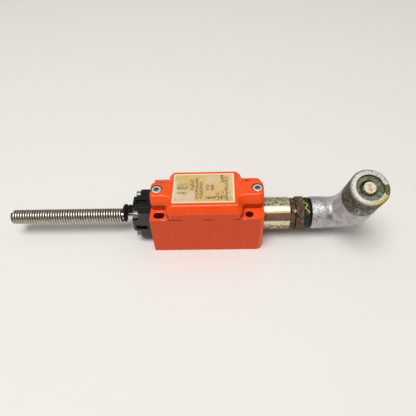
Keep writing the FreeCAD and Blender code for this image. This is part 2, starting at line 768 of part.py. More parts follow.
def coil_outline(left, outer, bore, wire, turns, tapered):
    """Half section of a close-wound coil: one ridge for each turn, over a straight bore."""
    valley_depth = wire * VALLEY_SHARE
    points = [(left, bore)]
    for turn in range(turns):
        crest = outer - tapered * max(0.0, TAPERED_TURNS - turn) ** 2 * wire
        points.append((left + turn * wire, crest - valley_depth))
        points.append((left + (turn + 0.5) * wire, crest))
    right = left + turns * wire
    points.append((right, outer - valley_depth))
    points.append((right, bore))
    return points


def coil_piece(name, left, outer, bore, wire, turns, tapered=0.0):
    """A coil spring's turned form about the common axis."""
    profile = coil_outline(left, outer, bore, wire, turns, tapered)
    vectors = [FreeCAD.Vector(x, 0, radius) for x, radius in profile]
    face = Part.Face(Part.makePolygon(vectors + vectors[:1]))
    feature = document.addObject("Part::Feature", name)
    feature.Label = name
    feature.Shape = face.revolve(FreeCAD.Vector(0, 0, 0), FreeCAD.Vector(1, 0, 0), 360)
    bind(feature, "Placement.Base.z", axis_height)
    subparts.append(feature)
    return feature


turns = round(s.spring_turns.value)
coil_piece("stick_spring", boot_left.value - turns * s.spring_wire.value, s.spring_radius.value,
           spring_bore.value, s.spring_wire.value, turns, tapered=0.2)

# Boot: rubber bellows between the head and the stick, torn open along the side that faces down and forward

collar_end = boot_left + s.boot_collar_length
boot = turned("boot", [
    (boot_left, s.rod_radius + s.boot_rod_gap), (collar_end, s.rod_radius + s.boot_rod_gap),
    (collar_end, s.boot_collar_radius), (boot_left, s.boot_collar_radius),
])
ridges = [
    (0.0, s.boot_collar_radius - 0.6), (0.02, s.boot_ridge_radius - 0.5), (0.12, s.boot_ridge_radius),
    (0.24, s.boot_ridge_radius - 0.2), (0.34, s.boot_valley_radius), (0.43, s.boot_second_radius - 0.2),
    (0.56, s.boot_second_radius), (0.68, s.boot_second_radius - 0.5), (0.76, s.boot_neck_radius),
    (1.0, s.boot_neck_radius),
]
outer_side = [(boot_left + s.boot_length * share, radius) for share, radius in ridges]
inner_side = [(x, radius - s.boot_wall) for x, radius in outer_side[2:]]
inner_side.insert(0, (outer_side[1][0] + s.boot_wall, outer_side[1][1] - s.boot_wall))
inner_side.insert(0, (boot_left + s.boot_wall, outer_side[0][1]))
bellows = new_sketch(boot, "XZ_Plane")
draw_outline(bellows, outer_side + inner_side[::-1])
revolve(boot, bellows)


def tilted(along, above):
    """A point of the plane across the axis, in a frame turned to face the tear."""
    angle = math.radians(s.boot_tear_tilt.value)
    y = above * math.sin(angle) - along * math.cos(angle)
    z = above * math.cos(angle) + along * math.sin(angle)
    return (y, z)


reach = s.boot_ridge_radius.value * 1.5
edge = s.boot_tear_offset.value
tear = new_sketch(boot, "YZ_Plane", collar_end)
draw_outline(tear, [tilted(-reach, edge), tilted(-reach * 0.35, edge + 0.3), tilted(0, edge - 0.4),
                    tilted(reach * 0.4, edge + 0.2), tilted(reach, edge), tilted(reach, -reach),
                    tilted(-reach, -reach)])
pocket(boot, tear, s.boot_length)
tear_front = new_sketch(boot, "YZ_Plane", boot_left)
collar = s.boot_collar_radius.value
draw_outline(tear_front, [
    tilted(-reach, edge), tilted(-collar * 0.97, edge), tilted(-collar, 0),
    tilted(-collar * 0.7, -collar * 0.72), tilted(0, -collar), tilted(collar * 0.7, -collar * 0.72),
    tilted(collar, 0), tilted(collar * 0.97, edge), tilted(reach, edge),
    tilted(reach, -reach), tilted(-reach, -reach),
])
pocket(boot, tear_front, s.boot_collar_length)

# Plunger with its bush and return spring in the housing's end wall

plunger_face = -half_length - s.plunger_head_setback
plunger_shoulder = plunger_face + s.plunger_head_thickness
chamber_floor = -half_length + s.spring_chamber_depth
slider_left = block_start + s.slider_lead
turned("plunger", [
    (plunger_face, 0), (plunger_face, s.plunger_head_radius - 0.4),
    (plunger_face + 0.4, s.plunger_head_radius), (plunger_shoulder, s.plunger_head_radius),
    (plunger_shoulder, s.plunger_radius), (slider_left - 0.1, s.plunger_radius), (slider_left - 0.1, 0),
])
turned("plunger_bush", [
    (chamber_floor, s.plunger_radius + s.plunger_clearance),
    (s.end_wall - half_length, s.plunger_radius + s.plunger_clearance),
    (s.end_wall - half_length, s.bush_radius), (chamber_floor, s.bush_radius),
])
plunger_spring_turns = 3
plunger_spring_gap = (chamber_floor - plunger_shoulder).value
coil_piece("plunger_spring", plunger_shoulder.value, s.plunger_spring_radius.value,
           s.plunger_spring_radius.value - s.plunger_spring_wire.value,
           plunger_spring_gap / plunger_spring_turns, plunger_spring_turns)

# Contact block: base with the slider's channel and contact chamber, a lid, the slider with two bridges

block_top = axis_height + s.block_rise
block_height = block_top - s.floor_thickness
chamber_start = block_start + s.chamber_wall
chamber_end = chamber_start + chamber_length
channel_end = chamber_end + s.channel_run
slider_right = chamber_end + s.slider_tail
lid_half_width = s.chamber_half_width + s.lid_overlap
terminal_row = s.chamber_half_width + s.terminal_inset
channel_floor = axis_height - s.slider_half_height - s.slider_clearance
channel_half = s.slider_half_width + s.slider_clearance
blade_floor = axis_height - s.window_half_height - 0.1
break_strip_x = chamber_start + s.contact_inset
break_window = break_strip_x + s.strip_thickness
make_window = break_window + s.window_pitch
bridge_break_x = break_window
bridge_make_x = make_window + s.window_length - s.bridge_thickness
make_strip_x = bridge_make_x + s.bridge_thickness + s.contact_gap
strip_gap = 0.05

block_base = new_body("block_base")
pad(block_base, draw_box(new_sketch(block_base, "XY_Plane", s.floor_thickness), block_start, block_end,
                         -block_half_width, block_half_width), block_height)
pocket(block_base, draw_box(new_sketch(block_base, "XY_Plane", channel_floor), slider_left - s.slider_clearance,
                            channel_end, -channel_half, channel_half), block_height)
pocket(block_base, draw_box(new_sketch(block_base, "XY_Plane", channel_floor), chamber_start,
                            chamber_end, -s.chamber_half_width, s.chamber_half_width),
       block_height)
pocket(block_base, draw_circle(new_sketch(block_base, "YZ_Plane", block_start), 0, axis_height,
                               s.plunger_radius + s.slider_clearance), s.slider_lead)
blade_slots = new_sketch(block_base, "XY_Plane", blade_floor - strip_gap)
pad_seats = new_sketch(block_base, "XY_Plane", block_top - s.strip_thickness)
terminal_holes = new_sketch(block_base, "XY_Plane", block_top - s.terminal_screw_length)
pad_outer = block_half_width - 0.4
terminal_places = []
for strip_x in (break_strip_x, make_strip_x):
    for side in (-1, 1):
        draw_box(blade_slots, strip_x - strip_gap, strip_x + s.strip_thickness + strip_gap,
                 s.chamber_half_width * side, (pad_outer + strip_gap) * side)
        draw_box(pad_seats, strip_x - strip_gap, strip_x + s.pad_length + strip_gap,
                 s.chamber_half_width * side, (pad_outer + strip_gap) * side)
        terminal_x = strip_x + s.pad_length / 2 + s.strip_thickness / 2
        draw_circle(terminal_holes, terminal_x, terminal_row * side, s.terminal_screw_radius)
        terminal_places.append((terminal_x, terminal_row * side))
pocket(block_base, blade_slots, block_height)
pocket(block_base, pad_seats, block_height)
pocket(block_base, terminal_holes, s.terminal_screw_length)
block_holes = new_sketch(block_base, "XY_Plane", s.floor_thickness)
for x, y in block_screw_places:
    draw_circle(block_holes, x, y, s.terminal_screw_radius + s.screw_clearance)
pocket(block_base, block_holes, block_height)

block_lid = new_body("block_lid")
pad(block_lid, draw_box(new_sketch(block_lid, "XY_Plane", block_top), block_start, block_end,
                        -lid_half_width + 0.1, lid_half_width - 0.1), s.block_lid)

contact_slider = new_body("contact_slider", z=axis_height)
pad(contact_slider, draw_box(new_sketch(contact_slider, "YZ_Plane", slider_left), -s.slider_half_width,
                             s.slider_half_width, -s.slider_half_height, s.slider_half_height),
    slider_right - slider_left)
windows = new_sketch(contact_slider, "XZ_Plane", -s.slider_half_width)
for left in (break_window - 0.1, make_window):
    draw_box(windows, left, left + s.window_length + 0.1, -s.window_half_height, s.window_half_height)
pocket(contact_slider, windows, s.slider_half_width * 2)


def bridge(name, left):
    body = new_body(name, x=left, z=axis_height)
    half_bridge = s.chamber_half_width - s.bridge_end_clearance
    pad(body, draw_box(new_sketch(body, "YZ_Plane"), -half_bridge, half_bridge,
                       -s.bridge_height / 2, s.bridge_height / 2), s.bridge_thickness)
    return body


bridge("bridge_break", bridge_break_x)
bridge("bridge_make", bridge_make_x)
bridge_spring_turns = 3
spring_outer = s.window_half_height.value * 0.8
break_spring_left = (bridge_break_x + s.bridge_thickness).value
break_spring_room = (break_window + s.window_length).value - break_spring_left
coil_piece("bridge_spring_break", break_spring_left, spring_outer, spring_outer * 0.6,
           break_spring_room / bridge_spring_turns, bridge_spring_turns)
make_spring_left = make_window.value
coil_piece("bridge_spring_make", make_spring_left, spring_outer, spring_outer * 0.6,
           (bridge_make_x.value - make_spring_left) / bridge_spring_turns, bridge_spring_turns)
slider_spring_turns = 3
coil_piece("slider_spring", slider_right.value, s.slider_half_width.value * 0.8,
           s.slider_half_width.value * 0.5, (channel_end - slider_right).value / slider_spring_turns,
           slider_spring_turns)

terminals = ["break_front", "break_back", "make_front", "make_back"]
blade_inner = s.slider_half_width + s.blade_gap
for place, (terminal_x, terminal_y) in zip(terminals, terminal_places):
    strip_x = break_strip_x if place.startswith("break") else make_strip_x
    side = -1 if place.endswith("front") else 1
    contact = new_body(f"fixed_contact_{place}")
    pad(contact, draw_box(new_sketch(contact, "XY_Plane", blade_floor), strip_x, strip_x + s.strip_thickness,
                          blade_inner * side, pad_outer * side), block_top - blade_floor)
    seat = new_sketch(contact, "XY_Plane", block_top - s.strip_thickness)
    draw_box(seat, strip_x, strip_x + s.pad_length, (lid_half_width + 0.1) * side, pad_outer * side)
    pad(contact, seat, s.strip_thickness)
    pocket(contact, draw_circle(new_sketch(contact, "XY_Plane", blade_floor), terminal_x, terminal_y,
                                s.terminal_screw_radius), block_height)
    clamp = new_body(f"clamp_plate_{place}")
    clamp_plan = new_sketch(clamp, "XY_Plane", block_top)
    draw_box(clamp_plan, terminal_x - s.clamp_length / 2, terminal_x + s.clamp_length / 2,
             terminal_y - s.clamp_width / 2, terminal_y + s.clamp_width / 2)
    draw_circle(clamp_plan, terminal_x, terminal_y, s.terminal_screw_radius)
    pad(clamp, clamp_plan, s.clamp_thickness)


def pan_screw(name, x, y, seat, length):
    """A slotted pan-head screw standing on its seat."""
    body = new_body(name, x=x, y=y, z=seat)
    revolve(body, draw_outline(new_sketch(body, "XZ_Plane"), [
        (0, -length), (s.terminal_screw_radius, -length), (s.terminal_screw_radius, 0),
        (s.terminal_screw_head, 0), (s.terminal_screw_head, s.terminal_screw_head_height - 0.5),
        (s.terminal_screw_head - 0.5, s.terminal_screw_head_height), (0, s.terminal_screw_head_height),
    ]), axis="V_Axis")
    pocket(body, draw_box(new_sketch(body, "XY_Plane", s.terminal_screw_head_height * 0.55),
                          -s.terminal_screw_head, s.terminal_screw_head, -0.3, 0.3),
           s.terminal_screw_head_height)
    return body


for place, (terminal_x, terminal_y) in zip(terminals, terminal_places):
    pan_screw(f"terminal_screw_{place}", terminal_x, terminal_y, block_top + s.clamp_thickness,
              s.terminal_screw_length + s.clamp_thickness - 0.3)
for number, (x, y) in enumerate(block_screw_places, start=1):
    pan_screw(f"block_screw_{number}", x, y, block_top, block_height + s.block_screw_bite - 0.2)
pan_screw("earth_screw", earth_screw_x, -block_screw_row, earth_top + 0.1, earth_top - s.floor_thickness)

# Conduit fittings on the common axis: nipple, washer, locknut and seal ring

nipple_radius = entry_radius + s.nipple_shoulder
washer_radius = s.nipple_thread + s.washer_wall
locknut_corner = s.nipple_thread + s.locknut_wall
seal_ring_radius = s.nipple_thread + s.seal_ring_wall
nipple_end = half_length + s.nipple_length
washer_end = nipple_end + s.washer_thickness
locknut_end = washer_end + s.locknut_thickness
hub_start = locknut_end + s.seal_ring_length
thread_end = hub_start + s.nipple_thread_bite
turned("conduit_nipple", [
    (half_length - s.end_wall, s.nipple_bore), (thread_end, s.nipple_bore),
    (thread_end, s.nipple_thread), (nipple_end, s.nipple_thread),
    (nipple_end, nipple_radius - 0.5), (nipple_end - 0.5, nipple_radius), (half_length, nipple_radius),
    (half_length, entry_radius), (half_length - s.end_wall, entry_radius),
])
turned("sealing_washer", [
    (nipple_end, s.nipple_thread), (washer_end, s.nipple_thread), (washer_end, washer_radius - 0.6),
    (washer_end - 1.2, washer_radius), (nipple_end + 0.8, washer_radius - 0.1),
    (nipple_end, washer_radius - 0.7),
])
locknut = new_body("locknut", x=washer_end, z=axis_height)
nut_plan = new_sketch(locknut, "YZ_Plane")
draw_outline(nut_plan, hexagon(sized(0), sized(0), locknut_corner))
draw_circle(nut_plan, 0, 0, s.nipple_thread)
pad(locknut, nut_plan, s.locknut_thickness)
turned("seal_ring", [
    (locknut_end, s.nipple_thread), (hub_start, s.nipple_thread), (hub_start, seal_ring_radius - 0.6),
    (hub_start - 1.0, seal_ring_radius), (locknut_end + 1.0, seal_ring_radius),
    (locknut_end, seal_ring_radius - 0.6),
])

# Elbow: cast in one piece, hub on the common axis, quarter bend and outlet leaning toward the front


def bend(body, radius, start, cut=False):
    """A quarter turn of round section from the hub's axis up to the outlet's axis."""
    sketch = new_sketch(body, "YZ_Plane", start)
    draw_circle(sketch, 0, 0, radius)
    back, front = FreeCAD.Vector(1, s.elbow_bend.value, 0), FreeCAD.Vector(-1, s.elbow_bend.value, 0)
    line = sketch.addGeometry(Part.LineSegment(back, front), True)
    place_point(sketch, line, 1, 1, s.elbow_bend)
    place_point(sketch, line, 2, -1, s.elbow_bend)
    return revolve(body, sketch, axis="Axis0", angle=90, cut=cut)


def turn_about_outlet(body, profile, cut=False):
    """Turn (radius, height) corners about the outlet's axis."""
    corners = [(outlet_x + radius, height) for radius, height in profile]
    sketch = draw_outline(new_sketch(body, "XZ_Plane"), corners)
    top = max(sized(height).value for radius, height in profile)
    line = sketch.addGeometry(Part.LineSegment(FreeCAD.Vector(outlet_x.value, 0, 0),
                                               FreeCAD.Vector(outlet_x.value, top, 0)), True)
    place_point(sketch, line, 1, outlet_x, 0)
    place_point(sketch, line, 2, outlet_x, top)
    return revolve(body, sketch, axis="Axis0", cut=cut)


hub_radius = s.nipple_thread + s.hub_wall
neck_radius = hub_radius - s.hub_step
hub_end = hub_start + s.hub_length
bend_start = hub_end + s.neck_length
outlet_x = bend_start + s.elbow_bend
outlet_length = s.elbow_bend + s.outlet_straight
outlet_face = outlet_length + s.outlet_thread_length
gland_radius = s.outlet_thread + s.gland_wall
gland_opening = s.outlet_thread - s.gland_overhang
gland_face = outlet_length + s.gland_length
thread_relief = thread_end + 0.5

elbow = new_body("elbow", z=axis_height, tilt=s.outlet_tilt)
revolve(elbow, draw_outline(new_sketch(elbow, "XZ_Plane"), [
    (hub_start, 0), (hub_start, hub_radius), (hub_end - 0.8, hub_radius), (hub_end, neck_radius),
    (bend_start, neck_radius), (bend_start, 0),
]))
bend(elbow, s.elbow_radius, bend_start)
turn_about_outlet(elbow, [
    (sized(0), s.elbow_bend), (s.elbow_radius, s.elbow_bend), (s.elbow_radius, outlet_length),
    (s.outlet_thread, outlet_length), (s.outlet_thread, outlet_face), (sized(0), outlet_face),
])
revolve(elbow, draw_outline(new_sketch(elbow, "XZ_Plane"), [
    (hub_start, 0), (hub_start, s.nipple_thread), (thread_relief, s.nipple_thread), (thread_relief, s.elbow_bore),
    (bend_start, s.elbow_bore), (bend_start, 0),
]), cut=True)
bend(elbow, s.elbow_bore, bend_start, cut=True)
turn_about_outlet(elbow, [
    (sized(0), s.elbow_bend), (s.elbow_bore, s.elbow_bend), (s.elbow_bore, outlet_face),
    (sized(0), outlet_face),
], cut=True)

gland_nut = new_body("gland_nut", z=axis_height, tilt=s.outlet_tilt)
turn_about_outlet(gland_nut, [
    (s.outlet_thread + s.gland_clearance, outlet_length), (gland_radius - 0.5, outlet_length),
    (gland_radius, outlet_length + 0.5), (gland_radius, gland_face - 1.0),
    (gland_radius - 1.0, gland_face), (gland_opening, gland_face),
    (gland_opening, gland_face - s.gland_lip), (s.outlet_thread + s.gland_clearance, gland_face - s.gland_lip),
])
washer_top = outlet_face + 0.8
bushing_radius = s.outlet_thread - s.bushing_clearance
bushing_bore = s.cable_radius + s.bushing_gap
gland_washer = new_body("gland_washer", z=axis_height, tilt=s.outlet_tilt)
turn_about_outlet(gland_washer, [
    (bushing_bore + 0.8, outlet_face), (bushing_radius, outlet_face), (bushing_radius, washer_top),
    (bushing_bore + 0.8, washer_top),
])
gland_bushing = new_body("gland_bushing", z=axis_height, tilt=s.outlet_tilt)
turn_about_outlet(gland_bushing, [
    (bushing_bore, washer_top), (bushing_radius, washer_top), (bushing_radius, gland_face - s.gland_lip),
    (bushing_bore + 0.6, gland_face - s.gland_lip), (bushing_bore, gland_face - s.gland_lip - 0.6),
])

# Cable: cut flush with the gland nut and clipped inside the bend and the nipple, with two copper cores

cable_top = gland_face - 0.3
cable = new_body("cable", z=axis_height, tilt=s.outlet_tilt)
revolve(cable, draw_outline(new_sketch(cable, "XZ_Plane"), [
    (half_length - s.cable_inside, 0), (half_length - s.cable_inside, s.cable_radius),
    (bend_start, s.cable_radius), (bend_start, 0),
]))
bend(cable, s.cable_radius, bend_start)
turn_about_outlet(cable, [
    (sized(0), s.elbow_bend), (s.cable_radius, s.elbow_bend), (s.cable_radius, cable_top),
    (sized(0), cable_top),
])
core_holes = new_sketch(cable, "XY_Plane", cable_top - s.core_length)
for side in (-1, 1):
    draw_circle(core_holes, outlet_x, s.core_spread * side, s.core_radius)
pocket(cable, core_holes, s.core_length)
for name, side in (("cable_core_front", -1), ("cable_core_back", 1)):
    core = new_body(name, z=axis_height, tilt=s.outlet_tilt)
    pad(core, draw_circle(new_sketch(core, "XY_Plane", cable_top - s.core_length), outlet_x,
                          s.core_spread * side, s.core_radius), s.core_length)

# Check every object and write one file for each sub-part

document.recompute()
for thing in document.Objects:
    if "Invalid" in thing.State or "Error" in thing.State:
        raise RuntimeError(f"{thing.Name} did not recompute: {thing.State}")
for subpart in subparts:
    if subpart.Shape.isNull() or not subpart.Shape.isValid():
        raise RuntimeError(f"{subpart.Label} has no valid shape")
os.makedirs("parts", exist_ok=True)
for subpart in subparts:
    subpart.Shape.exportStep(f"parts/{subpart.Label}.step")
print(len(subparts), "sub-parts written")
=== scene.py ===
import math

import bmesh
import bpy
from mathutils import Matrix, Vector


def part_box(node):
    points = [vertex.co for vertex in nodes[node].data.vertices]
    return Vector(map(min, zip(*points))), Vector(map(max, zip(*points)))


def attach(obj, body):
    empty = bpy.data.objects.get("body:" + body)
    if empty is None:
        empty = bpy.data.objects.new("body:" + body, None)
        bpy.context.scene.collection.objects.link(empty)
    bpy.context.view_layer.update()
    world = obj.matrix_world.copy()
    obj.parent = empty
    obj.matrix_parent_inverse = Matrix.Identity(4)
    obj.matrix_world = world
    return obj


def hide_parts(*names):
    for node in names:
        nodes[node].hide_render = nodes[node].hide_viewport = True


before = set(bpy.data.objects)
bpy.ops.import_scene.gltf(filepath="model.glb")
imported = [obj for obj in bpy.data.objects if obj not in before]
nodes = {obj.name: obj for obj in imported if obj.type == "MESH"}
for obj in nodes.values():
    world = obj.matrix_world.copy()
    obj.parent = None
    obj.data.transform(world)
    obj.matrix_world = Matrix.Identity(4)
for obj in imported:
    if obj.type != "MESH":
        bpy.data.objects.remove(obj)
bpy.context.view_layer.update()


# Camera and stage: the camera looks down on the switch from the front, where it lies on a pale floor under
# one large soft lamp that hangs nearly overhead, a little to the front and left.

MM = 0.001
CAMERA_ELEVATION = 47.46
CAMERA_AZIMUTH = 2.96
CAMERA_ROLL = -3.12
CAMERA_DISTANCE = 0.28532
CAMERA_TARGET = Vector((0.00003, 0.00244, 0.020))
FOCAL_PIXELS = 400.0
PHOTO_PIXELS = 416.0
SENSOR_WIDTH = 36.0

elevation = math.radians(CAMERA_ELEVATION)
azimuth = math.radians(CAMERA_AZIMUTH)
back = Vector((math.sin(azimuth) * math.cos(elevation), -math.cos(azimuth) * math.cos(elevation),
               math.sin(elevation)))
camera_data = bpy.data.cameras.new("camera")
camera_data.sensor_width = SENSOR_WIDTH
camera_data.lens = SENSOR_WIDTH * FOCAL_PIXELS / PHOTO_PIXELS
camera_data.clip_start = 0.01
camera = bpy.data.objects.new("camera", camera_data)
bpy.context.scene.collection.objects.link(camera)
camera.rotation_mode = "QUATERNION"
camera.rotation_quaternion = (
    (-back).to_track_quat("-Z", "Y") @ Matrix.Rotation(math.radians(CAMERA_ROLL), 4, "Z").to_quaternion()
)
camera.location = CAMERA_TARGET + back * CAMERA_DISTANCE
bpy.context.scene.camera = camera
bpy.context.scene.view_settings.view_transform = "Standard"


def rgb(red, green, blue):
    """A colour given as 0 to 255 on a screen, as the shader's own linear numbers."""
    channels = [channel / 255 for channel in (red, green, blue)]
    return tuple(c / 12.92 if c <= 0.04045 else ((c + 0.055) / 1.055) ** 2.4 for c in channels) + (1.0,)


def lamp(name, place, size, watts, aim=(0, 0, 0)):
    """A square soft lamp that faces the aimed point."""
    light = bpy.data.lights.new(name, "AREA")
    light.shape = "SQUARE"
    light.size = size
    light.energy = watts
    holder = bpy.data.objects.new(name, light)
    bpy.context.scene.collection.objects.link(holder)
    holder.location = place
    holder.rotation_euler = (Vector(aim) - Vector(place)).to_track_quat("-Z", "Y").to_euler()
    return holder


lamp("overhead_lamp", place=(-0.20, -0.38, 1.50), size=0.74, watts=15.9)

SKY_LOW = rgb(84, 80, 76)
SKY_HIGH = rgb(202, 200, 196)
BACKDROP = rgb(238, 237, 233)
FLOOR_COLOUR = rgb(239, 237, 233)
FLOOR_HALF_SIDE = 3.0

sky = bpy.data.worlds.new("room_light")
bpy.context.scene.world = sky
sky.use_nodes = True
sky_tree = sky.node_tree
sky_place = sky_tree.nodes.new("ShaderNodeTexCoord")
sky_split = sky_tree.nodes.new("ShaderNodeSeparateXYZ")
sky_tree.links.new(sky_place.outputs["Generated"], sky_split.inputs[0])
sky_ramp = sky_tree.nodes.new("ShaderNodeValToRGB")
sky_ramp.color_ramp.elements[0].position = 0.30
sky_ramp.color_ramp.elements[0].color = SKY_LOW
sky_ramp.color_ramp.elements[1].position = 0.90
sky_ramp.color_ramp.elements[1].color = SKY_HIGH
sky_tree.links.new(sky_split.outputs["Z"], sky_ramp.inputs[0])
sky_seen = sky_tree.nodes.new("ShaderNodeLightPath")
sky_mix = sky_tree.nodes.new("ShaderNodeMix")
sky_mix.data_type = "RGBA"
sky_mix.inputs["B"].default_value = BACKDROP
sky_tree.links.new(sky_seen.outputs["Is Camera Ray"], sky_mix.inputs["Factor"])
sky_tree.links.new(sky_ramp.outputs["Color"], sky_mix.inputs["A"])
sky_tree.links.new(sky_mix.outputs["Result"], sky_tree.nodes["Background"].inputs["Color"])

floor_mesh = bmesh.new()
bmesh.ops.create_grid(floor_mesh, x_segments=1, y_segments=1, size=FLOOR_HALF_SIDE)
floor_data = bpy.data.meshes.new("floor")
floor_mesh.to_mesh(floor_data)
floor_mesh.free()
floor = bpy.data.objects.new("floor", floor_data)
bpy.context.scene.collection.objects.link(floor)
floor_finish = bpy.data.materials.new("floor")
floor_finish.use_nodes = True
floor_shader = floor_finish.node_tree.nodes["Principled BSDF"]
floor_shader.inputs["Base Color"].default_value = FLOOR_COLOUR
floor_shader.inputs["Specular IOR Level"].default_value = 0.0
floor_data.materials.append(floor_finish)


# Housing and cover: zinc die castings in glossy orange-red paint, closed over a thin seal and chipped at their
# joint. After the photograph's tones, the upright sides, hole walls, screw wells and recess feet are coloured
# darker with painted shade, and a painted highlight lies as a pale glint along the cover's front upper edges:
# these don't follow the lamp.


class Signal:
    """One output of a material's nodes. Arithmetic on it adds Math nodes."""

    def __init__(self, finish, socket):
        self.finish = finish
        self.socket = socket

    def __add__(self, other):
        return self.finish.maths("ADD", self, other)

    def __sub__(self, other):
        return self.finish.maths("SUBTRACT", self, other)

    def __rsub__(self, other):
        return self.finish.maths("SUBTRACT", other, self)

    def __mul__(self, other):
        return self.finish.maths("MULTIPLY", self, other)

    def __truediv__(self, other):
        return self.finish.maths("DIVIDE", self, other)

    def __pow__(self, other):
        return self.finish.maths("POWER", self, other)

    def __abs__(self):
        return self.finish.maths("ABSOLUTE", self)

    __radd__ = __add__
    __rmul__ = __mul__

    def rise(self, low, high):
        """0 below low and 1 above high, with a smooth step between; low above high turns it round."""
        settings = {"interpolation_type": "SMOOTHSTEP", "clamp": True}
        if low > high:
            return 1 - self.rise(high, low)
        return self.finish.add("ShaderNodeMapRange", settings, {0: self, 1: low, 2: high})

    def between(self, low, high, soft):
        """1 between low and high, fading to 0 over the soft distance outside them."""
        return self.rise(low - soft, low) * self.rise(high + soft, high)

    def either(self, other):
        return self.finish.maths("MAXIMUM", self, other)

    def least(self, other):
        return self.finish.maths("MINIMUM", self, other)

    def zigzag(self):
        """Up and down between 0 and 1, once for each whole number."""
        return abs(self.finish.maths("FRACT", self) - 0.5) * 2


class Finish:
    """One material. Its patterns follow the object's own coordinates, in millimetres."""

    def __init__(self, name, specular=0.5, metallic=0.0):
        self.material = bpy.data.materials.new(name)
        self.material.use_nodes = True
        self.tree = self.material.node_tree
        self.shader = self.tree.nodes["Principled BSDF"]
        self.shader.inputs["Specular IOR Level"].default_value = specular
        self.shader.inputs["Metallic"].default_value = metallic
        metres = self.add("ShaderNodeTexCoord", output="Object")
        self.place = self.add("ShaderNodeVectorMath", {"operation": "SCALE"}, {0: metres, "Scale": 1000.0})
        self.x, self.y, self.z = [self.part(self.place, axis) for axis in "XYZ"]

    def add(self, kind, settings=None, sockets=None, output=None):
        """Any node: its settings first, then the values and links of its sockets."""
        node = self.tree.nodes.new(kind)
        for setting, value in (settings or {}).items():
            setattr(node, setting, value)
        for socket, value in (sockets or {}).items():
            if isinstance(value, Signal):
                self.tree.links.new(value.socket, node.inputs[socket])
            else:
                node.inputs[socket].default_value = value
        if output is None:
            return Signal(self, node.outputs[0])
        return Signal(self, node.outputs[output])

    def maths(self, operation, *values):
        return self.add("ShaderNodeMath", {"operation": operation}, dict(enumerate(values)))

    def part(self, vector, axis):
        return self.add("ShaderNodeSeparateXYZ", {}, {0: vector}, axis)

    def noise(self, scale, detail=2.0, distortion=0.0, place=None, roughness=0.5):
        """Cloudy noise with about scale features a millimetre."""
        sockets = {"Vector": place or self.place, "Scale": scale, "Detail": detail, "Roughness": roughness,
                   "Distortion": distortion}
        return self.add("ShaderNodeTexNoise", {"normalize": True}, sockets, "Fac")

    def cells(self, scale, place=None, randomness=1.0):
        """Distance to the nearest of scattered points."""
        sockets = {"Vector": place or self.place, "Scale": scale, "Randomness": randomness}
        return self.add("ShaderNodeTexVoronoi", {}, sockets, "Distance")

    def stretched(self, x, y, z):
        return self.add("ShaderNodeMapping", {}, {"Vector": self.place, "Scale": (x, y, z)})

    def away(self, x, y, z):
        """Distance in millimetres from a point."""
        ends = {0: self.place, 1: (x, y, z)}
        return self.add("ShaderNodeVectorMath", {"operation": "DISTANCE"}, ends, "Value")

    def spot(self, x, y, z, radius, ragged=0.4, grain=1.2):
        """A patch with a ragged edge round a point."""
        edge = self.away(x, y, z) + (self.noise(grain, 3.0) - 0.5) * (radius * ragged * 4)
        return edge.rise(radius, radius * 0.75)

    def field(self, left, right, front, back, soft=0.6, ragged=0.0):
        """1 inside a rectangle of the plan; its edges fade over soft and wander by ragged millimetres."""
        wander = (self.noise(0.8, 3.0) - 0.5) * (ragged * 4)
        across = abs(self.x - (left + right) / 2) + wander
        along = abs(self.y - (front + back) / 2) + wander
        half_across, half_along = (right - left) / 2, (back - front) / 2
        return across.rise(half_across + soft, half_across) * along.rise(half_along + soft, half_along)

    def mix(self, mask, below, above):
        """Colour above where the mask is 1, and colour below where it is 0."""
        node = self.add("ShaderNodeMix", {"data_type": "RGBA"}).socket.node
        for socket, value in {"Factor": mask, "A": below, "B": above}.items():
            target = [found for found in node.inputs if found.name == socket and found.enabled][0]
            if isinstance(value, Signal):
                self.tree.links.new(value.socket, target)
            else:
                target.default_value = value
        return Signal(self, [found for found in node.outputs if found.enabled][0])

    def edge(self, radius):
        """1 on sharp edges, worked out from a rounded normal, and that rounded normal."""
        rounded = self.add("ShaderNodeBevel", {"samples": 6}, {"Radius": radius * MM})
        true = self.add("ShaderNodeNewGeometry", output="Normal")
        pair = {0: rounded, 1: true}
        likeness = self.add("ShaderNodeVectorMath", {"operation": "DOT_PRODUCT"}, pair, "Value")
        return 1 - likeness, rounded

    def finish(self, colour=None, roughness=None, metallic=None):
        """Link what changes over the surface to the shader."""
        links = {"Base Color": colour, "Roughness": roughness, "Metallic": metallic}
        for socket, value in links.items():
            if isinstance(value, Signal):
                self.tree.links.new(value.socket, self.shader.inputs[socket])
            elif value is not None:
                self.shader.inputs[socket].default_value = value
        return self

    def relief(self, height, depth, normal=None):
        """Bump from a height signal, depth in millimetres."""
        sockets = {"Height": height, "Distance": depth * MM, "Strength": 1.0}
        if normal is not None:
            sockets["Normal"] = normal
        bump = self.add("ShaderNodeBump", {}, sockets)
        self.tree.links.new(bump.socket, self.shader.inputs["Normal"])
        return self


def dress(finish, *names):
    """Give CAD nodes a finish."""
    for name in names:
        nodes[name].data.materials.clear()
        nodes[name].data.materials.append(finish.material)


BODY_HALF_WIDTH = 19.5
JOINT_HEIGHT = 32.4
COVER_TOP = 42.4
AXIS_HEIGHT = 16.4
COVER_SCREW_X = 33.9
HOLE_ROW = 15.0
ROUND_HOLE_X = 28.1
SLOT_X = -31.9

ORANGE = rgb(249, 80, 18)
ORANGE_DEEP = rgb(222, 56, 10)
ORANGE_PALE = rgb(252, 104, 52)
GLINT_PINK = rgb(255, 178, 150)
ORANGE_SIDE_SHADE = rgb(222, 71, 14)
DEEP_RED = rgb(104, 14, 6)
BARE_ZINC = rgb(176, 166, 156)
JOINT_DIRT = rgb(58, 18, 12)


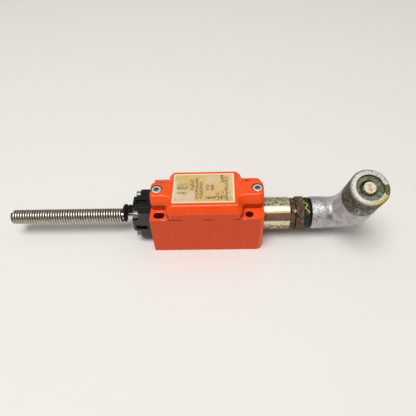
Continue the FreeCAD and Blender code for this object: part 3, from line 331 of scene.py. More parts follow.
def orange_paint(name, chips, worn_runs, dark_hollows):
    """Gloss paint with clouded colour, painted shade on its upright sides, a painted highlight along upper
    front edges, bare chips, wear along runs of an edge, and dark hollows of painted shade.
    """
    paint = Finish(name, specular=0.28)
    clouds = paint.noise(0.06, 3.0).rise(0.35, 0.68)
    colour = paint.mix(clouds * 0.35, ORANGE, ORANGE_PALE)
    streaks = paint.noise(0.35, 4.0, place=paint.stretched(0.4, 1.0, 2.2)).rise(0.58, 0.78)
    colour = paint.mix(streaks * 0.30, colour, ORANGE_DEEP)
    # Painted shade: the upright sides are coloured a darker orange than the top.
    side = abs(paint.y).rise(19.2, 19.45).either(abs(paint.x).rise(37.7, 37.95))
    colour = paint.mix(side * 0.8, colour, ORANGE_SIDE_SHADE)
    wear, rounded = paint.edge(0.55)
    scuffs = paint.noise(0.9, 4.0).rise(0.50, 0.68) * wear.rise(0.05, 0.28)
    colour = paint.mix(scuffs * 0.5, colour, ORANGE_PALE)
    soft_normal = paint.edge(1.1)[1]
    upward = paint.part(soft_normal, "Z")
    forward = paint.part(soft_normal, "Y")
    painted_glint = upward.between(0.84, 0.94, 0.04) * forward.rise(-0.25, -0.35) * paint.z.rise(40.5, 41.0)
    colour = paint.mix(painted_glint * paint.noise(0.35, 3.0).rise(0.30, 0.45) * 0.7, colour, GLINT_PINK)
    bare = None
    for x, y, z, radius in chips:
        chip = paint.spot(x, y, z, radius)
        bare = chip if bare is None else bare.either(chip)
    for x, y, z, half_run in worn_runs:
        ragged = paint.noise(1.6, 3.0) * 1.1
        along = abs(paint.x - x).rise(half_run + 0.6, half_run)
        across = (abs(paint.y - y) + abs(paint.z - z) + ragged).rise(1.15, 0.85)
        bare = bare.either(along * across)
    colour = paint.mix(bare * 0.9, colour, BARE_ZINC)
    # Painted shade in deep red in the hollows, and the cover's two dark nicks.
    for hollow in dark_hollows(paint):
        colour = paint.mix(hollow * 0.85, colour, DEEP_RED)
    joint = abs(paint.z - JOINT_HEIGHT).rise(0.42, 0.22) * abs(paint.y).rise(19.25, 19.4)
    gaps = None
    for left, right in JOINT_GAPS:
        gap = abs(paint.x - (left + right) / 2).rise((right - left) / 2 + 1.0, (right - left) / 2 - 0.6)
        gaps = gap if gaps is None else gaps.either(gap)
    dirt = joint * gaps * paint.noise(0.7, 2.0).rise(0.30, 0.42)
    colour = paint.mix(dirt, colour, JOINT_DIRT)
    grime = paint.noise(2.4, 3.0).rise(0.68, 0.80) * 0.3
    colour = paint.mix(grime, colour, ORANGE_DEEP)
    paint.finish(colour, 0.22 + clouds * 0.06 + bare * 0.3 + dirt * 0.4, metallic=bare * 0.6)
    height = paint.noise(1.1, 2.0) * 0.03 + paint.noise(6.0, 2.0) * 0.006 - bare * 0.08
    return paint.relief(height, 1.0, rounded)


def mounting_holes(paint):
    """Painted shade on the walls of the four mounting holes, below the ledges: two round holes and two slots.
    """
    below = paint.z.rise(JOINT_HEIGHT - 0.1, JOINT_HEIGHT - 0.6)
    row = abs(abs(paint.y) - HOLE_ROW).rise(2.80, 2.72)
    return [below * row * abs(paint.x - x).rise(half_length + 0.08, half_length)
            for x, half_length in ((ROUND_HOLE_X, 2.72), (SLOT_X, 3.87))]


def screw_wells(paint):
    """Painted shade in the wells of the two cover screws and on the upright feet of the recesses over the
    mounting holes, and two dark nicks.
    """
    from_screw = ((abs(paint.x) - COVER_SCREW_X) ** 2 + paint.y ** 2) ** 0.5
    well_shade = from_screw.rise(4.35, 3.95) * (0.4 + paint.z.rise(COVER_TOP - 0.1, COVER_TOP - 0.4) * 0.6)
    recess_foot_shade = paint.z.rise(37.6, 36.2) * abs(paint.y).rise(19.3, 18.6) * abs(paint.x).rise(37.9, 37.4)
    nicks = paint.spot(-24.4, -11.7, COVER_TOP, 0.5).either(paint.spot(-22.9, 0.4, COVER_TOP, 0.55))
    return [well_shade, recess_foot_shade * 0.6, nicks * 0.8]


# Where dirt shows in the joint, from one end of each run to the other
JOINT_GAPS = [(-27.0, -16.9), (-2.4, 5.7), (18.2, 23.8)]
FRONT_LEDGE = (-BODY_HALF_WIDTH, JOINT_HEIGHT)
housing_paint = orange_paint(
    "housing_paint",
    chips=[(-33.0, -12.6, JOINT_HEIGHT, 0.6), (31.4, -18.6, JOINT_HEIGHT, 0.4), (-35.9, -19.5, 16.6, 0.45),
           (-22.3, -19.5, 1.0, 0.4), (-32.8, 18.3, JOINT_HEIGHT, 0.9)],
    worn_runs=[(-28.2, *FRONT_LEDGE, 1.9), (24.2, *FRONT_LEDGE, 1.4), (-31.9, -12.3, JOINT_HEIGHT, 1.8),
               (-32.0, 17.7, JOINT_HEIGHT, 2.4)],
    dark_hollows=mounting_holes,
)
dress(housing_paint, "housing")
cover_paint = orange_paint(
    "cover_paint",
    chips=[(-25.2, -18.6, 36.0, 1.0), (-24.0, -19.1, 35.0, 0.8), (36.4, -5.0, COVER_TOP - 0.3, 0.3)],
    worn_runs=[(5.0, -BODY_HALF_WIDTH, JOINT_HEIGHT, 0.6)],
    dark_hollows=screw_wells,
)
dress(cover_paint, "cover")


# Nameplate: a foil label in soft fields of colour. It is tan with a pale yellow-green rim, straw, cream and
# pinkish worn patches, one greenish smear, and brown blots of noise that stand in narrow rows and columns.

LABEL_LEFT, LABEL_RIGHT = -22.7, 18.4
LABEL_HALF_WIDTH = 13.75

TAN = rgb(226, 184, 130)
TAN_YELLOW = rgb(216, 186, 116)
LABEL_RIM = rgb(238, 242, 204)
PINKISH = rgb(226, 202, 192)
CREAM = rgb(232, 222, 196)
STRAW = rgb(206, 186, 96)
LABEL_GREEN = rgb(132, 162, 116)
PALE_GREEN = rgb(202, 208, 178)
SPECK_BROWN = rgb(112, 92, 44)
LABEL_EDGE_BROWN = rgb(150, 84, 44)
LABEL_RED = rgb(196, 44, 22)

label = Finish("nameplate", specular=0.3)
label_colour = label.mix(label.noise(0.35, 4.0).rise(0.40, 0.62), TAN, TAN_YELLOW)
clouded = label.noise(0.7, 4.0).rise(0.52, 0.68)
label_colour = label.mix(clouded * 0.4, label_colour, CREAM)
# Each field's left, right, front and back, its colour and how strong it is
WORN_FIELDS = [
    (-20.0, -12.0, 8.6, 11.8, STRAW, 0.7), (-19.6, -8.6, -12.6, -6.6, PINKISH, 0.85),
    (-21.6, -19.2, -7.0, 5.0, CREAM, 0.7), (0.8, 4.4, 5.2, 10.6, PINKISH, 0.8),
    (5.2, 8.5, 3.6, 9.8, PALE_GREEN, 0.6), (-19.2, -12.8, -0.6, 3.6, LABEL_GREEN, 0.75),
    (-19.4, -13.0, -5.2, -3.6, PALE_GREEN, 0.6), (12.4, 17.6, -12.8, -10.0, STRAW, 0.7),
    (-11.4, -9.0, -5.6, -2.6, PINKISH, 0.6), (-8.0, 0.0, 10.0, 12.0, STRAW, 0.5),
    (15.8, 17.6, -7.0, 11.0, CREAM, 0.5),
]
broken_up = label.noise(1.0, 4.0, roughness=0.6).rise(0.34, 0.56)
for left, right, front, back, colour, strength in WORN_FIELDS:
    patch = label.field(left, right, front, back, soft=1.6, ragged=2.0)
    label_colour = label.mix(patch * broken_up * strength, label_colour, colour)
SPECK_FIELDS = [
    (-10.6, -8.8, -2.0, 8.0), (-7.2, -5.8, -10.6, 9.2), (-4.4, -2.8, -10.0, 6.0), (0.0, 1.2, -2.4, 2.8),
    (3.0, 4.6, -2.4, 2.8), (9.8, 11.6, 5.0, 12.0), (12.6, 13.8, -12.0, 10.0), (-0.6, 12.0, -10.4, -8.4),
    (6.4, 8.4, -11.4, -5.0), (10.0, 11.0, -11.0, -3.0), (-19.6, -12.8, -0.4, 0.4),
    (-19.6, -13.2, -5.0, -4.2),
]
speck_places = None
for left, right, front, back in SPECK_FIELDS:
    patch = label.field(left, right, front, back, soft=0.7)
    speck_places = patch if speck_places is None else speck_places.either(patch)
specks = label.noise(1.15, 1.0, place=label.stretched(0.85, 1.2, 1.0)).rise(0.47, 0.54)
label_colour = label.mix(specks * speck_places, label_colour, SPECK_BROWN)
to_edge = (label.x - LABEL_LEFT).least(LABEL_RIGHT - label.x).least(LABEL_HALF_WIDTH - abs(label.y))
rim = (to_edge + label.noise(0.9, 3.0) * 1.6).rise(2.15, 1.55)
label_colour = label.mix(rim * 0.85, label_colour, LABEL_RIM)
# Browner along the label's left edge, and less so along its front edge.
edge_brown = (to_edge + label.noise(2.2, 3.0) * 0.5).rise(0.50, 0.28)
near_left = (label.x - LABEL_LEFT).rise(1.2, 0.6).either((label.y + LABEL_HALF_WIDTH).rise(1.2, 0.6) * 0.6)
label_colour = label.mix(edge_brown * near_left * 0.8, label_colour, LABEL_EDGE_BROWN)
red_mark = label.spot(15.3, -5.1, COVER_TOP + 0.3, 0.45)
label_colour = label.mix(red_mark, label_colour, LABEL_RED)
label.finish(label_colour, 0.5, metallic=0.05)
label.relief(label.noise(1.5, 3.0) * 0.03 - clouded * 0.02, 1.0)
dress(label, "nameplate")


# Screws: plated steel. The two cover screws have bright heads round sockets darkened with painted shade, and
# the four head screws are dull, with more of their surface in spots of dark grime.

SCREW_STEEL = rgb(240, 239, 234)
SCREW_DULL = rgb(150, 145, 134)
SCREW_GRIME_AND_SHADE = rgb(46, 38, 32)


def screw_steel(name, steel_colour, grime_level, sparkle):
    """Plated steel with spots of grime and painted shade in the cover screws' sockets, dented finely enough to
    sparkle.
    """
    steel = Finish(name, metallic=1.0)
    spots = steel.noise(1.4, 4.0).rise(grime_level, grime_level + 0.16)
    colour = steel.mix(spots, steel_colour, SCREW_GRIME_AND_SHADE)
    # Painted shade: the cover screws' sockets are coloured dark.
    from_screw = ((abs(steel.x) - COVER_SCREW_X) ** 2 + steel.y ** 2) ** 0.5
    socket = from_screw.rise(2.0, 1.7)
    colour = steel.mix(socket * 0.8, colour, SCREW_GRIME_AND_SHADE)
    steel.finish(colour, 0.34 + spots * 0.4, metallic=0.7 - spots * 0.4 - socket * 0.4)
    rounded = steel.edge(0.2)[1]
    return steel.relief(steel.noise(1.6, 3.0) * sparkle, 1.0, rounded)


dress(screw_steel("cover_screw_steel", SCREW_STEEL, 0.64, 0.20), "cover_screw_left", "cover_screw_right")
head_screws = [f"head_screw_{number}" for number in range(1, 5)]
dress(screw_steel("head_screw_steel", SCREW_DULL, 0.50, 0.06), *head_screws)


# Operating head: black glass-filled plastic, dusty and a little grey at its edges, with flecks of the
# body's paint and of rust near the boot. A thin black gasket lies between it and the body.

HEAD_BLACK = rgb(20, 20, 21)
HEAD_DUST_AND_LIGHT = rgb(72, 71, 70)
RUST_FLECK = rgb(206, 104, 54)

black = Finish("head_plastic", specular=0.25)
dust = black.noise(0.5, 4.0).rise(0.46, 0.80) * 0.12
# Painted light: the head's front faces are coloured a lighter grey, as where the lamp falls on them.
front_step = abs(black.y + 5.5).rise(0.25, 0.1)
front_face = black.y.rise(-11.2, -11.45)
head_front = black.y.rise(-5.3, -5.6) * front_step.either(front_face)
head_front_light = head_front * (0.75 + black.noise(0.5, 3.0) * 0.3)
head_colour = black.mix(dust.either(head_front_light), HEAD_BLACK, HEAD_DUST_AND_LIGHT)
head_wear, head_rounded = black.edge(0.4)
head_rub = head_wear.rise(0.04, 0.25) * black.noise(1.2, 3.0).rise(0.4, 0.62) * 0.3
head_colour = black.mix(head_rub, head_colour, HEAD_DUST_AND_LIGHT)
upper_fleck = black.spot(-46.6, -11.8, 30.1, 0.7, ragged=0.2)
lower_fleck = black.spot(-51.6, -11.4, 21.4, 0.6, ragged=0.2)
head_colour = black.mix(upper_fleck.either(lower_fleck), head_colour, RUST_FLECK)
black.finish(head_colour, 0.5 + dust * 0.3)
black.relief(black.noise(2.6, 3.0) * 0.02, 1.0, head_rounded)
dress(black, "head_housing")

GASKET_BLACK = rgb(16, 16, 16)
GASKET_GREY = rgb(40, 38, 36)

rubber = Finish("gasket_rubber", specular=0.2)
rubber.finish(rubber.mix(rubber.noise(0.8, 3.0).rise(0.4, 0.7), GASKET_BLACK, GASKET_GREY), 0.7)
rubber.relief(rubber.noise(3.0, 2.0) * 0.02, 1.0)
dress(rubber, "head_gasket", "cover_seal")


# Boot: black rubber bellows, torn away along its front and lower side and grey with dust at the neck

BOOT_BLACK = rgb(13, 13, 13)
BOOT_DUST = rgb(104, 96, 86)

boot_rubber = Finish("boot_rubber", specular=0.2)
neck_dust = boot_rubber.x.rise(-53.8, -52.4) * boot_rubber.noise(0.9, 3.0).rise(0.35, 0.6) * 0.5
boot_dust = boot_rubber.noise(0.7, 3.0).rise(0.50, 0.78) * 0.25 + neck_dust
boot_rubber.finish(boot_rubber.mix(boot_dust, BOOT_BLACK, BOOT_DUST), 0.6 + boot_dust * 0.3)
boot_rubber.relief(boot_rubber.noise(2.0, 4.0) * 0.12, 1.0)
dress(boot_rubber, "boot")


# Stick: a close-wound spring of round steel wire on a bright steel rod, with painted shade in brown in the
# valleys between its turns. The wire is one helix, and its last turns close in at the free end.

WIRE_RADIUS = 0.905
SPRING_PITCH = 1.83
SPRING_TURNS = 45
SPRING_RADIUS = 5.25
STEPS_A_TURN = 28
WIRE_SIDES = 10
TAPERED_TURNS = 1.6
TAPER_DEPTH = 1.5

STEEL = rgb(214, 208, 198)
STAIN_AND_SHADE_BROWN = rgb(92, 74, 56)
ROD_STEEL = rgb(214, 206, 196)

spring_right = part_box("stick_spring")[1].x / MM
spring_left = spring_right - SPRING_PITCH * SPRING_TURNS
coil = bmesh.new()
profile = bmesh.ops.create_circle(coil, segments=WIRE_SIDES, radius=WIRE_RADIUS)["verts"]
bmesh.ops.rotate(coil, verts=profile, cent=(0, 0, 0), matrix=Matrix.Rotation(math.radians(90), 3, "X"))
coil_turns = SPRING_TURNS - 1
bmesh.ops.translate(coil, verts=profile, vec=(spring_left + WIRE_RADIUS, 0, SPRING_RADIUS - WIRE_RADIUS))
profile_edges = list({edge for vert in profile for edge in vert.link_edges})
steps = STEPS_A_TURN * coil_turns
swept = bmesh.ops.spin(
    coil, geom=profile + profile_edges, cent=(0, 0, 0), axis=(1, 0, 0), steps=steps,
    angle=math.radians(360 * coil_turns), dvec=(SPRING_PITCH / STEPS_A_TURN, 0, 0),
)
last_edges = [item for item in swept["geom_last"] if isinstance(item, bmesh.types.BMEdge)]
bmesh.ops.contextual_create(coil, geom=profile_edges)
bmesh.ops.contextual_create(coil, geom=last_edges)
for vert in coil.verts:
    inside = (vert.co.x - spring_left) / SPRING_PITCH
    if inside < TAPERED_TURNS:
        radius = math.hypot(vert.co.y, vert.co.z)
        closed = radius - TAPER_DEPTH * (1 - max(inside, 0) / TAPERED_TURNS) ** 2
        vert.co.y *= closed / radius
        vert.co.z *= closed / radius
bmesh.ops.recalc_face_normals(coil, faces=coil.faces)


def piece(name, mesh, body, finish, *replaced, smooth_angle=40, height=AXIS_HEIGHT):
    """Finish a bmesh drawn in millimetres about the common axis as an object that rides on a body."""
    bmesh.ops.scale(mesh, vec=(MM, MM, MM), verts=mesh.verts)
    bmesh.ops.translate(mesh, vec=(0, 0, height * MM), verts=mesh.verts)
    data = bpy.data.meshes.new(name)
    for edge in mesh.edges:
        edge.smooth = edge.calc_face_angle(0.0) < math.radians(smooth_angle)
    for face in mesh.faces:
        face.smooth = True
    mesh.to_mesh(data)
    mesh.free()
    made = bpy.data.objects.new(name, data)
    bpy.context.scene.collection.objects.link(made)
    data.materials.append(finish.material)
    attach(made, body)
    if replaced:
        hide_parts(*replaced)
    return made


wire_steel = Finish("spring_steel", metallic=1.0)
from_axis = (wire_steel.y ** 2 + (wire_steel.z - AXIS_HEIGHT) ** 2) ** 0.5
# Painted shade: brown in the valleys between the turns.
valley_shade = from_axis.rise(5.16, 4.80)
stains = wire_steel.noise(0.5, 4.0).rise(0.35, 0.65)
spring_colour = wire_steel.mix(valley_shade * (0.6 + stains * 0.35), STEEL, STAIN_AND_SHADE_BROWN)
spring_colour = wire_steel.mix(stains * 0.25, spring_colour, STAIN_AND_SHADE_BROWN)
wire_steel.finish(spring_colour, 0.30 + valley_shade * 0.3)
wire_steel.relief(wire_steel.noise(4.0, 3.0) * 0.02, 1.0)
spring = piece("spring_coil", coil, "stick", wire_steel, "stick_spring", smooth_angle=80)

rod_steel = Finish("rod_steel", metallic=1.0)
rod_stain = rod_steel.noise(1.2, 3.0).rise(0.5, 0.75) * 0.6
rod_steel.finish(rod_steel.mix(rod_stain, ROD_STEEL, STAIN_AND_SHADE_BROWN), 0.2)
rod_steel.relief(rod_steel.noise(5.0, 2.0) * 0.01, 1.0)
dress(rod_steel, "stick_rod", "stick_ferrule", "rocker_disc", "cross_pin", "swivel_ball")


# Conduit nipple: steel tube with yellow zinc plating, olive where it is stained on top and rusting at its end,
# with a brown band along its upper front that is partly rust and partly a painted reflection, and browner
# towards the bottom

ZINC_PALE = rgb(226, 220, 186)
ZINC_TOP = rgb(204, 200, 168)
ZINC_OLIVE = rgb(86, 88, 48)
ZINC_LINE = rgb(64, 60, 40)
ZINC_YELLOW = rgb(206, 196, 96)
ZINC_LOW_OLIVE = rgb(104, 98, 48)
ZINC_BROWN = rgb(116, 70, 48)
RUST_DEEP = rgb(66, 40, 28)
RUST_ORANGE = rgb(186, 112, 64)

# Bands run along the tube; each lies at an angle round it, from the front (0 degrees) up to the top (90)
nipple = Finish("yellow_zinc", metallic=1.0)
lift = nipple.maths("ARCTAN2", nipple.z - AXIS_HEIGHT, 0 - nipple.y) * math.degrees(1)
blots = nipple.noise(0.62, 4.0, roughness=0.6)
on_top = lift.rise(66.0, 76.0)
top_stain = blots.rise(0.46, 0.60) * on_top
nipple_colour = nipple.mix(on_top * 0.6, ZINC_PALE, ZINC_TOP)
nipple_colour = nipple.mix(top_stain * 0.9, nipple_colour, ZINC_OLIVE)
edge_line = abs(lift - 79.0 + (nipple.noise(0.5, 3.0) - 0.5) * 14.0).rise(4.5, 2.0) * blots.rise(0.44, 0.52)
nipple_colour = nipple.mix(edge_line * 0.8, nipple_colour, ZINC_LINE)
yellow_tint = lift.between(46.0, 54.0, 6.0) * nipple.noise(0.8, 3.0).rise(0.40, 0.6)
nipple_colour = nipple.mix(yellow_tint * 0.6, nipple_colour, ZINC_YELLOW)
# A brown band along the upper front: partly rust, partly a painted reflection.
band_raggedness = nipple.noise(0.6, 4.0, place=nipple.stretched(0.35, 1, 1)) - 0.62
rust_and_reflection_band = (lift.between(22.0, 44.0, 8.0) * 1.3 + band_raggedness).rise(0.35, 0.75)
nipple_colour = nipple.mix(rust_and_reflection_band * 0.9, nipple_colour, ZINC_BROWN)
nipple_colour = nipple.mix(rust_and_reflection_band * blots.rise(0.50, 0.60) * 0.6, nipple_colour, RUST_DEEP)
rust_spots = rust_and_reflection_band * nipple.noise(1.3, 3.0).rise(0.56, 0.64) * lift.rise(24.0, 34.0)
nipple_colour = nipple.mix(rust_spots * 0.8, nipple_colour, RUST_ORANGE)
low_stain = (lift.rise(14.0, -12.0) * 0.16 + blots).rise(0.56, 0.66) * lift.rise(20.0, 8.0)
nipple_colour = nipple.mix(low_stain * 0.85, nipple_colour, ZINC_LOW_OLIVE)
# Browner towards the bottom.
low_brown = lift.rise(-26.0, -38.0)
nipple_colour = nipple.mix(low_brown * 0.8, nipple_colour, ZINC_BROWN)
end_rust = (nipple.x + nipple.noise(0.9, 3.0) * 2.2).rise(57.2, 58.2)
nipple_colour = nipple.mix(end_rust * 0.8, nipple_colour, ZINC_BROWN)
nipple_dull = top_stain.either(rust_and_reflection_band).either(edge_line)
nipple_dull = nipple_dull.either(low_stain).either(low_brown).either(end_rust)
top_film = lift.rise(66.0, 80.0) * 0.5
nipple.finish(nipple_colour, 0.26 + nipple_dull * 0.34, metallic=0.92 - nipple_dull.either(top_film) * 0.6)
nipple.relief(nipple.noise(2.5, 4.0) * 0.03 + nipple_dull * 0.03, 1.0)
dress(nipple, "conduit_nipple")


# Sealing washer and locknut: steel, rusted through to a rough dark brown

RUST_DARK = rgb(52, 38, 30)
RUST_MID = rgb(118, 86, 64)
RUST_BRIGHT = rgb(190, 158, 136)
RUST_OLIVE = rgb(104, 92, 66)
JOINT_BLACK = rgb(26, 18, 14)
RUBBED_RUST = rgb(190, 160, 140)
PAINTED_SHINE_PINK = rgb(236, 216, 206)

rust = Finish("rusty_steel", specular=0.3)
streaky = rust.noise(0.8, 4.0, place=rust.stretched(1.6, 0.5, 0.5), roughness=0.6)
rust_colour = rust.mix(streaky.rise(0.40, 0.56), RUST_DARK, RUST_MID)
olive_right = (rust.x + (rust.noise(0.6, 3.0) - 0.5) * 5.0).rise(62.6, 64.4)
rust_colour = rust.mix(olive_right * 0.6, rust_colour, RUST_OLIVE)
rust_colour = rust.mix(streaky.rise(0.58, 0.66) * 0.8, rust_colour, RUST_BRIGHT)
joint_black = abs(rust.x - 60.7 + (rust.noise(0.5, 3.0) - 0.5) * 1.6).rise(0.55, 0.25)
rust_colour = rust.mix(joint_black * 0.8, rust_colour, JOINT_BLACK)
rust_edge, rust_rounded = rust.edge(0.5)
bright_rub = rust_edge.rise(0.06, 0.3) * rust.noise(1.4, 3.0).rise(0.5, 0.62)
rust_colour = rust.mix(bright_rub * 0.5, rust_colour, RUBBED_RUST)
# Painted highlight: a pale pink spot on the washer's front.
painted_shine = rust.spot(60.2, -6.4, 25.0, 1.2)
rust_colour = rust.mix(painted_shine, rust_colour, PAINTED_SHINE_PINK)
rust.finish(rust_colour, 0.6 - painted_shine * 0.3, metallic=0.15 + bright_rub * 0.4)
rust.relief(rust.noise(1.3, 5.0, roughness=0.65) * 0.9, 1.0, rust_rounded)
dress(rust, "sealing_washer", "locknut")


# Seal ring: black rubber, greenish with age, with flakes of yellow paint across its upper front

SEAL_BLACK = rgb(26, 32, 27)
SEAL_GREEN = rgb(62, 72, 60)
SEAL_SHADE = rgb(8, 8, 8)
FLAKE_YELLOW = rgb(222, 192, 72)

seal = Finish("seal_rubber", specular=0.25)
seal_colour = seal.mix(seal.noise(0.9, 4.0).rise(0.4, 0.7), SEAL_BLACK, SEAL_GREEN)
seal_lift = seal.maths("ARCTAN2", seal.z - AXIS_HEIGHT, 0 - seal.y) * math.degrees(1)
seal_gap = (seal.x + (seal.noise(0.6, 2.0) - 0.5) * 1.2).rise(69.6, 70.1)
seal_colour = seal.mix(seal_gap, seal_colour, SEAL_SHADE)
zigzag = (seal_lift / 28.0 + 0.2).zigzag() * 2.2 - (seal_lift - 70.0) * 0.035
paint_line = abs(seal.x - 66.9 - zigzag + (seal.noise(0.9, 2.0) - 0.5) * 0.8).rise(0.50, 0.28)
paint_line = paint_line * seal_lift.between(46.0, 98.0, 3.0) * seal.noise(1.6, 3.0).rise(0.30, 0.40)
seal_colour = seal.mix(paint_line, seal_colour, FLAKE_YELLOW)
seal.finish(seal_colour, 0.55)
seal.relief(seal.noise(1.6, 4.0) * 0.15 + paint_line * 0.15, 1.0)
dress(seal, "seal_ring")


# Elbow: grey-painted iron casting, worn to a dull metallic shine and pitted, with painted highlights as white
# sparkle strongest on its hub, darker patches at its neck and bend, and painted shade along its underside. Its
# outside swells softly from the threaded hub, round the bend and out to a heel below the gland.

OUTLET_TILT = math.radians(24.0)
OUTLET_X = 98.6
ELBOW_BEND = 15.0
BEND_START = OUTLET_X - ELBOW_BEND
BEND_END = BEND_START + ELBOW_BEND * math.pi / 2
GLAND_SEAT = BEND_END + 13.0
OUTLET_END = BEND_END + 23.0
HUB_START = 71.8
HUB_END = 81.4
THREAD_STOP = 79.5
THREAD_RADIUS = 9.0
OUTLET_RADIUS = 9.8
BORE_RADIUS = 7.6
ELBOW_SIDES = 48
# Each ring's place along the centre line and its radius: the outside first, then back down the bore
OUTSIDE_RINGS = [
    (HUB_START, 10.9), (72.3, 11.3), (80.0, 11.3), (81.2, 11.2), (82.4, 11.0), (83.6, 10.95), (86.0, 11.0),
    (88.5, 11.1), (91.0, 11.3), (93.5, 11.6), (96.0, 12.0), (98.5, 12.3), (101.0, 12.6), (103.5, 12.75),
    (106.0, 12.7), (108.5, 12.55), (112.0, 12.4), (GLAND_SEAT - 0.6, 12.3), (GLAND_SEAT - 0.1, 11.8),
    (GLAND_SEAT, OUTLET_RADIUS), (OUTLET_END, OUTLET_RADIUS),
]
BORE_PLACES = [OUTLET_END, BEND_END, 103.0, 99.0, 95.0, 91.0, 87.0, BEND_START, THREAD_STOP]
BORE_RINGS = [(reach, BORE_RADIUS) for reach in BORE_PLACES]
THREAD_RINGS = [(THREAD_STOP, THREAD_RADIUS), (HUB_START, THREAD_RADIUS)]


def along_elbow(reach):
    """The place and direction of the centre line, which starts as the switch's own axis."""
    turn = min(max((reach - BEND_START) / ELBOW_BEND, 0), math.pi / 2)
    ahead = min(reach, BEND_START)
    upwards = max(reach - BEND_END, 0)
    place = (ahead + ELBOW_BEND * math.sin(turn), 0, ELBOW_BEND * (1 - math.cos(turn)) + upwards)
    return Matrix.Translation(place) @ Matrix.Rotation(math.radians(90) - turn, 4, "Y")


elbow_mesh = bmesh.new()
rings = []
for reach, radius in OUTSIDE_RINGS + BORE_RINGS + THREAD_RINGS:
    circle = bmesh.ops.create_circle(elbow_mesh, segments=ELBOW_SIDES, radius=radius, matrix=along_elbow(reach))
    rings.append(list({edge for vert in circle["verts"] for edge in vert.link_edges}))
for ring, following in zip(rings, rings[1:] + rings[:1]):
    bmesh.ops.bridge_loops(elbow_mesh, edges=ring + following)
outlet_lean = Matrix.Rotation(OUTLET_TILT, 3, "X")
bmesh.ops.rotate(elbow_mesh, verts=elbow_mesh.verts, cent=(0, 0, 0), matrix=outlet_lean)
bmesh.ops.recalc_face_normals(elbow_mesh, faces=elbow_mesh.faces)

ELBOW_GREY = rgb(206, 201, 204)
ELBOW_DARK = rgb(148, 146, 148)
ELBOW_SPARKLE_WHITE = rgb(244, 244, 244)
ELBOW_GRAIN = rgb(104, 101, 98)
ELBOW_PATCH_DARK = rgb(90, 84, 70)
ELBOW_PIT = rgb(30, 28, 26)
ELBOW_UNDERSIDE_SHADE = rgb(46, 42, 38)

casting = Finish("grey_casting", specular=0.4)
grain = casting.noise(0.9, 5.0, roughness=0.65)
on_hub = (casting.x + (casting.noise(0.3, 2.0) - 0.5) * 4.0).rise(HUB_END + 3.0, HUB_END - 2.0)
casting_colour = casting.mix(casting.noise(0.22, 3.0).rise(0.42, 0.66) * 0.5, ELBOW_GREY, ELBOW_DARK)
near_bend = (casting.x + casting.y * 0.35).rise(90.0, 84.0)
grain_mask = grain.rise(0.50, 0.60) * (0.12 + near_bend * 0.5)
casting_colour = casting.mix(grain_mask, casting_colour, ELBOW_GRAIN)
# Painted highlights: white sparkle, strongest on the hub.
painted_sparkle = casting.noise(1.0, 3.0).rise(0.56, 0.64) * (0.15 + on_hub * 0.6)
casting_colour = casting.mix(painted_sparkle, casting_colour, ELBOW_SPARKLE_WHITE)
# Darker patches at the neck and on the bend.
neck_dark = casting.spot(83.6, -9.6, 22.0, 2.2, ragged=0.7)
bend_dark = casting.spot(90.4, -7.0, 26.0, 1.8, ragged=0.7)
casting_colour = casting.mix(neck_dark.either(bend_dark) * 0.6, casting_colour, ELBOW_PATCH_DARK)
pit = casting.spot(84.2, -13.0, 13.6, 0.55, ragged=0.2)
casting_colour = casting.mix(pit, casting_colour, ELBOW_PIT)
# Painted shade: the underside near the floor is coloured dark.
underside_shade = (6.5 - casting.z + (casting.noise(0.5, 3.0) - 0.5) * 3.0).rise(0.0, 1.5)
casting_colour = casting.mix(underside_shade * 0.8, casting_colour, ELBOW_UNDERSIDE_SHADE)
casting.finish(casting_colour, 0.42 - painted_sparkle * 0.15, metallic=0.35 + on_hub * 0.35)
casting.relief(casting.noise(1.2, 5.0, roughness=0.6) * (0.10 + on_hub * 0.30) - pit * 0.25, 1.0)
elbow = piece("elbow_casting", elbow_mesh, "case", casting, "elbow")


# Gland: plated nut worn to bare metal on its front face, a green-grey rubber bushing, and the cut cable in
# a pale jacket with copper cores

GLAND_FACE = 47.0
GLAND_DARK = rgb(50, 46, 40)
GLAND_BROWN = rgb(112, 104, 84)
GLAND_YELLOW = rgb(150, 142, 76)
GLAND_HIGHLIGHT = rgb(190, 188, 180)
GLAND_FOOT_SHADE = rgb(24, 22, 20)
FACE_BARE = rgb(204, 201, 198)
FACE_GREY = rgb(134, 131, 128)
FACE_CREAM = rgb(224, 214, 190)
FACE_YELLOW = rgb(196, 174, 78)
FACE_RIM_SHADE = rgb(70, 64, 52)
LUMP_DARK = rgb(62, 48, 32)
LUMP_PALE = rgb(126, 104, 70)

gland = Finish("dark_zinc", metallic=1.0)
along_outlet = (gland.z - AXIS_HEIGHT) * math.cos(OUTLET_TILT) - gland.y * math.sin(OUTLET_TILT)
across_outlet = (gland.z - AXIS_HEIGHT) * math.sin(OUTLET_TILT) + gland.y * math.cos(OUTLET_TILT)
from_outlet = ((gland.x - OUTLET_X) ** 2 + across_outlet ** 2) ** 0.5
side_colour = gland.mix(gland.noise(0.4, 4.0).rise(0.40, 0.60), GLAND_DARK, GLAND_BROWN)
side_colour = gland.mix(gland.noise(0.7, 4.0).rise(0.60, 0.70) * 0.8, side_colour, GLAND_YELLOW)
# Painted highlight: a lighter grey band low on the nut's front side.
side_highlight = along_outlet.between(29.0, 36.0, 4.0) * across_outlet.rise(-8.0, -11.0)
side_highlight = side_highlight * gland.noise(0.8, 4.0).rise(0.5, 0.6)
side_colour = gland.mix(side_highlight, side_colour, GLAND_HIGHLIGHT)
